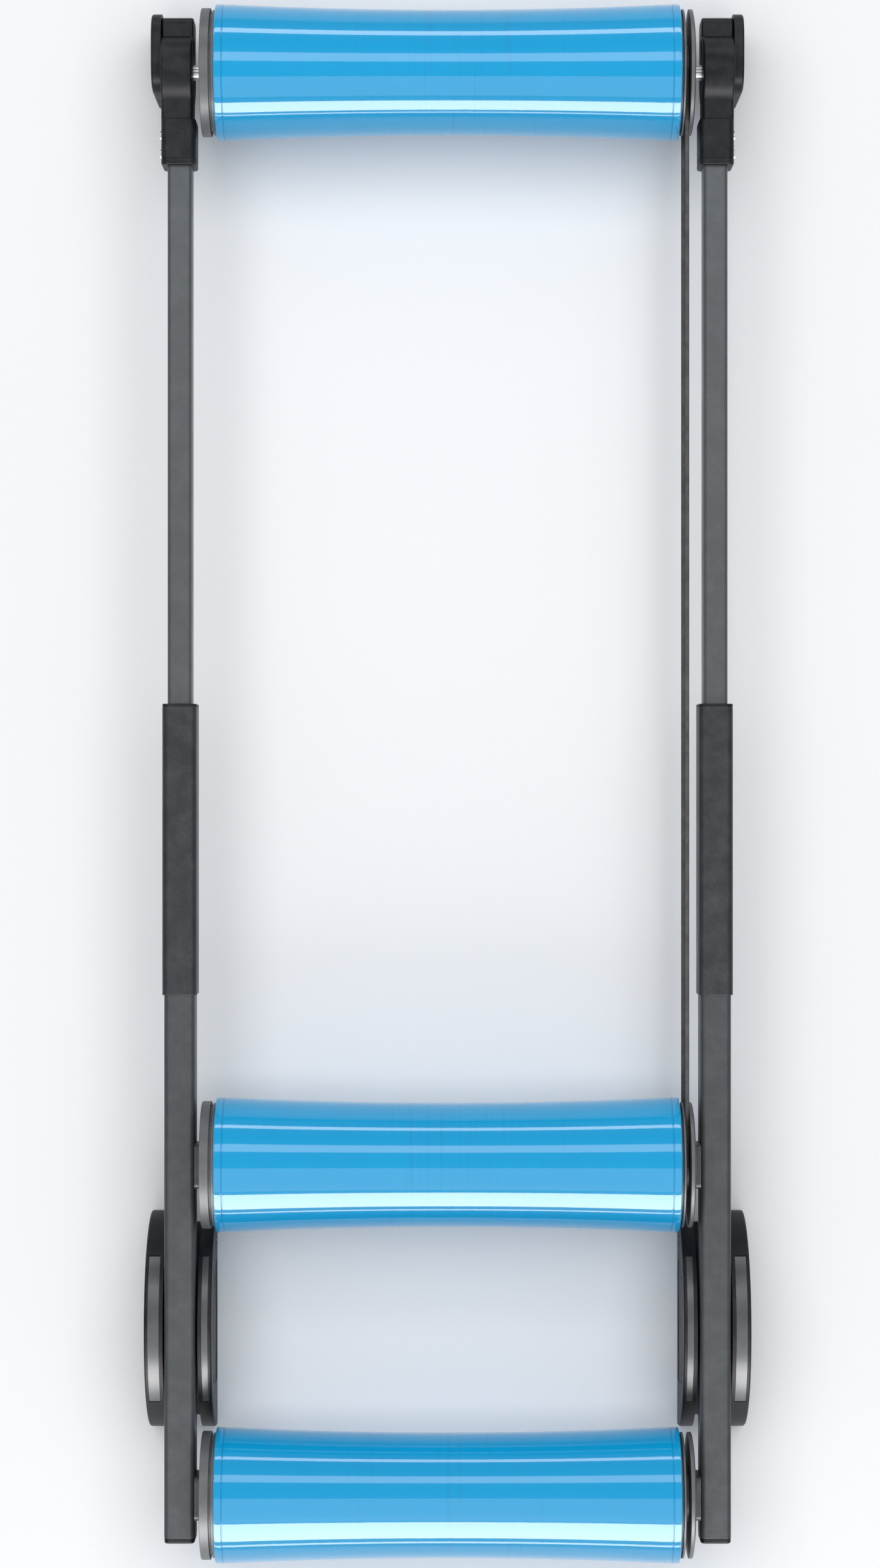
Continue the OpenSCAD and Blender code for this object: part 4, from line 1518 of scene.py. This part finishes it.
def rubber_pad(name: str, size: Point, height: float) -> bpy.types.Object:
    """A rubber foot pad round the origin, from the floor up, with a groove round its rim.

    Args:
        name: The pad's name.
        size: Its sides in X and Y.
        height: Its height.

    Returns:
        The pad.
    """
    half_x, half_y = size[0] / 2, size[1] / 2
    pad = Bench.block(name, (-half_x, -half_y, 0), (half_x, half_y, height))

    def upright(edge: bmesh.types.BMEdge) -> bool:
        """Whether an edge stands upright."""
        along = edge.verts[1].co - edge.verts[0].co
        return abs(along.z) > STRAIGHT * along.length

    Bench.bevel(pad, 4 * MM, 5, upright)
    Bench.edit(pad)
    low, high = height * 0.4, height * 0.65
    for place in (low, high):
        Bench.split_at(pad, (0, 0, place), (0, 0, 1))

    def in_groove(face: bmesh.types.BMFace) -> bool:
        """Whether a face is the rim's between the two cuts."""
        return low < face.calc_center_median().z < high and abs(face.normal.z) < 0.1

    Bench.pick(pad, Kind.FACE, in_groove)
    bpy.ops.mesh.extrude_region_move(TRANSFORM_OT_translate={"value": (0, 0, 0)})
    groove = 0.6 * MM
    shrink_x, shrink_y = 1 - groove / half_x, 1 - groove / half_y
    bpy.ops.transform.resize(value=(shrink_x, shrink_y, 1), center_override=(0, 0, height / 2))
    Bench.pick(pad, Kind.EDGE, lambda edge: lies_at_z(edge, 0) and is_sharp(edge))
    bpy.ops.mesh.bevel(offset=groove, segments=2, affect="EDGES")
    bpy.ops.object.mode_set(mode="OBJECT")
    return pad


@dataclass
class FrontFittings(Assembly):
    """The fittings on the front tubes: a socket block, a hub on the axle, a nose and a lug."""

    block: tuple[float, float, float, float] = (-15 * MM, 16.5 * MM, 563 * MM, 605 * MM)
    block_height: float = 44 * MM
    block_corner: float = 6 * MM
    lip: Point = (5 * MM, 6.2 * MM)
    hub_radius: float = 33 * MM
    hub: Point = (-12 * MM, 16.5 * MM)
    neck_height: float = 38 * MM
    nose: tuple[float, float, float, float] = (664 * MM, 700 * MM, 62 * MM, 99 * MM)
    nose_corner: float = 7 * MM
    lug: Point = (-6.5 * MM, 16.5 * MM)
    lug_radius: float = 9 * MM
    rail: float = field(init=False, default=0.0)

    def build(self) -> None:
        """Models the right-hand fitting about the rail's centre line and sets it on both sides."""
        self.rail = Extent.of("front_tube_right").middle.x
        axle = Extent.of("front_axle").middle
        pin = Extent.of("front_swing_pins").middle
        fitting = self.socket_block(axle.z)
        for part in (
            self.neck_piece(axle),
            self.hub_piece(axle),
            self.nose_piece(),
            self.lug_piece(axle, pin),
        ):
            Bench.combine(fitting, part, Cut.UNION)
        for side in Side:
            label = side.name.lower()
            shift = (side.value * self.rail, 0, 0)
            twin = Bench.copy(fitting, f"front_hub_fitting_{label}", shift, flip=side is Side.LEFT)
            self.fit(twin, "front_frame", Slot.BLACK_PLASTIC, [f"front_fitting_{label}"])
        bpy.data.objects.remove(fitting, do_unlink=True)

    def socket_block(self, height: float) -> bpy.types.Object:
        """The block that the front tube plugs into, with a raised lip round its mouth."""
        inner, outer, start, stop = self.block
        low, high = height - self.block_height / 2, height + self.block_height / 2
        block = Bench.block("socket_block", (inner, start, low), (outer, stop, high))
        Bench.bevel(block, self.block_corner, 6, runs_along_y)
        Bench.bevel(block, 1.5 * MM, 3, lambda edge: lies_at_y(edge, (start, stop)) and is_sharp(edge))
        Bench.edit(block)
        groove = (start + self.lip[0], start + self.lip[1])
        for place in groove:
            Bench.split_at(block, (0, place, 0), (0, 1, 0))

        def in_groove(face: bmesh.types.BMFace) -> bool:
            """Whether a face lies between the lip and the block."""
            return groove[0] < face.calc_center_median().y < groove[1] and abs(face.normal.y) < 0.1

        Bench.pick(block, Kind.FACE, in_groove)
        bpy.ops.mesh.extrude_region_move(TRANSFORM_OT_translate={"value": (0, 0, 0)})
        middle = ((inner + outer) / 2, 0, height)
        bpy.ops.transform.resize(value=(0.95, 1, 0.965), center_override=middle)
        bpy.ops.object.mode_set(mode="OBJECT")
        return block

    def neck_piece(self, axle: Vector) -> bpy.types.Object:
        """The bar between the socket block and the hub."""
        low, high = axle.z - self.neck_height / 2, axle.z + self.neck_height / 2
        neck = Bench.block("neck", (self.hub[0], self.block[3] - 5 * MM, low), (self.hub[1], axle.y, high))
        Bench.bevel(neck, 3 * MM, 4, runs_along_y)
        return neck

    def hub_piece(self, axle: Vector) -> bpy.types.Object:
        """The round hub, with a stepped outer face and a rounded rim."""
        start, stop = self.hub
        hub = Bench.drum("hub", (start, axle.y, axle.z), stop - start, self.hub_radius, 96)
        Bench.bevel(hub, 2.2 * MM, 5, is_sharp)
        Bench.edit(hub)
        Bench.pick(hub, Kind.FACE, lambda face: face.normal.x > STRAIGHT)
        bpy.ops.mesh.inset(thickness=5 * MM, depth=0)
        bpy.ops.mesh.inset(thickness=0.8 * MM, depth=-1 * MM)
        bpy.ops.mesh.inset(thickness=11 * MM, depth=0)
        bpy.ops.mesh.inset(thickness=0.8 * MM, depth=0.9 * MM)
        bpy.ops.object.mode_set(mode="OBJECT")
        return hub

    def nose_piece(self) -> bpy.types.Object:
        """The blunt nose in front of the hub."""
        start, stop, low, high = self.nose
        nose = Bench.block("nose", (self.hub[0], start, low), (self.hub[1], stop, high))
        front = (stop,)

        def front_edge(edge: bmesh.types.BMEdge) -> bool:
            """Whether an edge runs across the nose's front."""
            return runs_along_x(edge) and lies_at_y(edge, front)

        Bench.bevel(nose, self.nose_corner, 6, front_edge)
        Bench.bevel(nose, 1.6 * MM, 3, is_sharp)
        return nose

    def lug_piece(self, axle: Vector, pin: Vector) -> bpy.types.Object:
        """The lug that reaches down to the swing pin."""
        top = axle.z
        r = self.lug_radius
        bottom = arc((pin.y, pin.z), r, 100, 260, 10)
        points = [*bottom, (pin.y - 2 * r, top), (pin.y + 2 * r, top)]
        lug = Bench.slab("lug", points, self.lug[0], self.lug[1])
        Bench.bevel(lug, 1.2 * MM, 3, lambda edge: not runs_along_x(edge) and is_sharp(edge))
        return lug


@dataclass
class FrontFeet(Assembly):
    """The front feet: a hollow pod with a base plate a side, and rubber pads."""

    pod_start: float = 17.5 * MM
    top_corner: float = 27.5 * MM
    wall: float = 2.5 * MM
    rim: float = 3 * MM
    base_inner: float = -2.5 * MM
    base_height: float = 6 * MM
    pad_size: Point = (24 * MM, 20 * MM)
    pad_y: float = 22 * MM

    def build(self) -> None:
        """Models the right-hand foot about the rail's centre line and sets it on both sides."""
        rail = Extent.of("front_tube_right").middle.x
        node = Extent.of("front_foot_right")
        middle, floor = node.middle.y, node.low.z
        stop = node.high.x - rail
        half = node.size.y / 2
        foot = self.shell(node, stop)
        base = Bench.block(
            "base",
            (self.base_inner, middle - half, floor),
            (stop - 0.5 * MM, middle + half, floor + self.base_height),
        )
        Bench.bevel(base, 1 * MM, 2, lambda edge: not lies_at_z(edge, floor))
        Bench.combine(foot, base, Cut.UNION)
        for side in Side:
            label = side.name.lower()
            twin = Bench.copy(foot, f"front_pod_{label}", (side.value * rail, 0, 0), flip=side is Side.LEFT)
            self.fit(twin, "front_feet", Slot.BLACK_PLASTIC, [f"front_foot_{label}"])
        bpy.data.objects.remove(foot, do_unlink=True)
        self.build_pads(rail + (self.base_inner + stop) / 2, middle, floor)

    def shell(self, node: Extent, stop: float) -> bpy.types.Object:
        """The pod's shell: rounded, hollow towards the rail, with a sunk outer face.

        Args:
            node: The box of the foot's CAD node.
            stop: How far out its outer face lies from the rail's centre line.

        Returns:
            The shell.
        """
        start = self.pod_start
        low, high, floor, top = node.low.y, node.high.y, node.low.z, node.high.z
        outline = rounded(
            [
                (low, floor, 0),
                (low, top, self.top_corner),
                (high, top, self.top_corner),
                (high, floor, 0),
            ],
            steps=14,
        )
        shell = Bench.slab("pod", outline, start, stop)
        Bench.bevel(shell, 2 * MM, 4, lambda edge: lies_at_x(edge, stop))
        Bench.edit(shell)
        Bench.pick(shell, Kind.FACE, lambda face: face.normal.x > STRAIGHT)
        bpy.ops.mesh.inset(thickness=5 * MM, depth=0)
        bpy.ops.mesh.inset(thickness=0.6 * MM, depth=-0.7 * MM)
        Bench.pick(shell, Kind.FACE, lambda face: lies_flat_at_x(face, start))
        bpy.ops.mesh.inset(thickness=self.rim, depth=0)
        bpy.ops.mesh.extrude_region_move(TRANSFORM_OT_translate={"value": (stop - start - self.wall, 0, 0)})
        bpy.ops.object.mode_set(mode="OBJECT")
        return shell

    def build_pads(self, across: float, middle: float, floor: float) -> None:
        """The rubber pads under the front feet."""
        model = rubber_pad("pad", self.pad_size, floor)
        pads = []
        for side in Side:
            for shift in (-self.pad_y, self.pad_y):
                place = (side.value * across, middle + shift, 0)
                pads.append(Bench.copy(model, f"front_pad_{len(pads)}", place))
        bpy.data.objects.remove(model, do_unlink=True)
        piece = Bench.join(pads)
        piece.name = "front_rubber_pads"
        self.fit(piece, "front_feet", Slot.PAD, ["front_pads"])


@dataclass
class DriveBelt(Assembly):
    """The drive belt: a bend round each pulley and two runs, each split where the sleeves hold it."""

    thickness: float = 3 * MM
    rounding: float = 0.9 * MM
    split: float = -90 * MM
    cuts: int = 60
    bend_steps: int = 40

    def build(self) -> None:
        """Models the runs along the rail and the two bends."""
        node = Extent.of("drive_belt")
        rear = Extent.of("middle_axle").middle.y
        front = Extent.of("front_axle").middle.y
        height = node.middle.z
        outer = node.size.z / 2
        spans = {
            "rear": (rear, self.split, "rear_frame", "sleeves"),
            "front": (self.split, front, "sleeves", "front_frame"),
        }
        for level, top in (("upper", height + outer), ("lower", height - outer + self.thickness)):
            for part, (start, stop, first, second) in spans.items():
                low = (node.low.x, start, top - self.thickness)
                run = Bench.block(f"belt_{level}_{part}_run", low, (node.high.x, stop, top))
                self.round_run(run)
                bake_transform(run)
                LOG.info("%s bends between %s and %s", run.name, first, second)
        self.bend("belt_front_bend", "front_frame", node, (front, height), outer, -math.pi)
        self.bend("belt_rear_bend", "rear_frame", node, (rear, height), outer, math.pi)

    def round_run(self, run: bpy.types.Object) -> None:
        """Rounds a straight run's long edges and divides it along its length."""
        Bench.bevel(run, self.rounding, 3, runs_along_y)
        Bench.edit(run)
        Bench.pick(run, Kind.EDGE, runs_along_y)
        bpy.ops.mesh.subdivide(number_cuts=self.cuts)
        bpy.ops.object.mode_set(mode="OBJECT")
        Bench.smooth(run, weighted=False)
        self.dress(run, Slot.BELT)
        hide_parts("drive_belt")

    def bend(self, name: str, body: str, node: Extent, axis: Point, outer: float, angle: float) -> None:
        """The half turn round one pulley.

        Args:
            name: The piece's name.
            body: The body that it rides on.
            node: The belt's box.
            axis: The (y, z) of the pulley's axis.
            outer: The belt's outer radius.
            angle: The turn from the upper run to the lower one.
        """
        inner = outer - self.thickness
        r = self.rounding
        section = rounded(
            [
                (node.low.x, axis[1] + inner, r),
                (node.high.x, axis[1] + inner, r),
                (node.high.x, axis[1] + outer, r),
                (node.low.x, axis[1] + outer, r),
            ],
            steps=3,
        )
        belt = Bench.line(name, [(x, axis[0], z) for x, z in section], closed=True)
        bpy.ops.mesh.spin(steps=self.bend_steps, angle=angle, center=(0, *axis), axis=(1, 0, 0))
        bpy.ops.mesh.select_all(action="SELECT")
        bpy.ops.mesh.remove_doubles(threshold=MERGED)
        bpy.ops.mesh.fill_holes(sides=0)
        Bench.close_up(belt)
        self.fit(belt, body, Slot.BELT, ["drive_belt"], weighted=False)


@dataclass
class Softbox:
    """One long studio light, placed by its angle from straight above, towards the rear."""

    name: str
    angle: float
    distance: float
    length: float
    width: float
    power: float
    gloss_only: bool = True

    def place(self) -> None:
        """Adds the light, facing the middle of the object."""
        turn = math.radians(self.angle)
        target = Vector((0, 0, LIGHT_HEIGHT))
        away = Vector((0, -math.sin(turn), math.cos(turn))) * self.distance
        data = bpy.data.lights.new(self.name, "AREA")
        data.shape = "RECTANGLE"
        data.size = self.length
        data.size_y = self.width
        data.energy = self.power
        light = bpy.data.objects.new(self.name, data)
        light.location = target + away
        light.rotation_euler = (-away).to_track_quat("-Z", "Y").to_euler()
        light.visible_camera = False
        light.visible_diffuse = not self.gloss_only
        light.visible_glossy = self.gloss_only
        bpy.context.scene.collection.objects.link(light)


@dataclass
class Studio:
    """The floor, the lights, the world and the camera."""

    paints: Paintbox
    camera_place: tuple[float, float, float] = (-0.0069, 0.0, 3.5)
    lens: float = 85.6
    floor_half: float = 9.0
    world_colour: Colour = (0.9, 0.95, 1.0)
    world_strength: float = 0.36
    boxes: tuple[Softbox, ...] = (
        Softbox("rear_low_strip", 66, 2.0, 2.8, 0.9, 115),
        Softbox("rear_floor_strip", 86, 2.2, 2.8, 0.12, 10),
        Softbox("rear_broad", 26, 3.2, 4.0, 2.3, 46),
        Softbox("front_narrow", -29, 3.0, 4.0, 0.75, 34),
        Softbox("front_low_strip", -72, 2.4, 3.0, 0.3, 20),
        Softbox("overhead_fill", -12, 3.4, 5.0, 3.6, 128, gloss_only=False),
        Softbox("front_fill", -64, 3.4, 4.0, 2.0, 8, gloss_only=False),
        Softbox("rear_fill", 66, 3.4, 4.0, 2.0, 34, gloss_only=False),
    )

    def build(self) -> None:
        """Builds the whole studio."""
        for box in self.boxes:
            box.place()
        self.add_floor()
        self.add_world()
        self.add_camera()
        view = bpy.context.scene.view_settings
        view.view_transform = "Standard"
        view.look = "None"
        LOG.info("studio ready with %d lights", len(self.boxes))

    def add_floor(self) -> None:
        """The plain pale floor."""
        Bench.clear()
        bpy.ops.mesh.primitive_plane_add(size=2 * self.floor_half, location=(0, 0, 0))
        floor = Bench.settle("floor")
        floor.data.materials.append(self.paints.floor)

    def add_world(self) -> None:
        """A soft even sky."""
        world = bpy.data.worlds.new("studio_sky")
        world.use_nodes = True
        sky = next(node for node in world.node_tree.nodes if node.type == "BACKGROUND")
        sky.inputs["Color"].default_value = (*self.world_colour, 1)
        sky.inputs["Strength"].default_value = self.world_strength
        bpy.context.scene.world = world

    def add_camera(self) -> None:
        """The camera, straight above the frame with its front drum at the top."""
        data = bpy.data.cameras.new("overhead")
        data.lens = self.lens
        data.sensor_width = SENSOR_WIDTH
        data.clip_start = 0.05
        camera = bpy.data.objects.new("overhead", data)
        camera.location = self.camera_place
        bpy.context.scene.collection.objects.link(camera)
        bpy.context.scene.camera = camera


def corners(bounds: tuple[Vector, Vector]) -> list[list[float]]:
    """A box's two corners as plain lists of numbers."""
    return [[float(value) for value in corner] for corner in bounds]


def main() -> None:
    """Builds and dresses everything."""
    logging.basicConfig(level=logging.INFO, format="%(name)s: %(message)s")
    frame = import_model()
    paints = Paintbox()
    paints.coat_nodes(frame["nodes"])
    Studio(paints).build()
    for assembly in (Drums, Rails, RearFeet, FrontFittings, FrontFeet, DriveBelt):
        assembly(paints).build()
        LOG.info("%s built", assembly.__name__)
    Bench.clear()


if __name__ == "__main__":
    main()
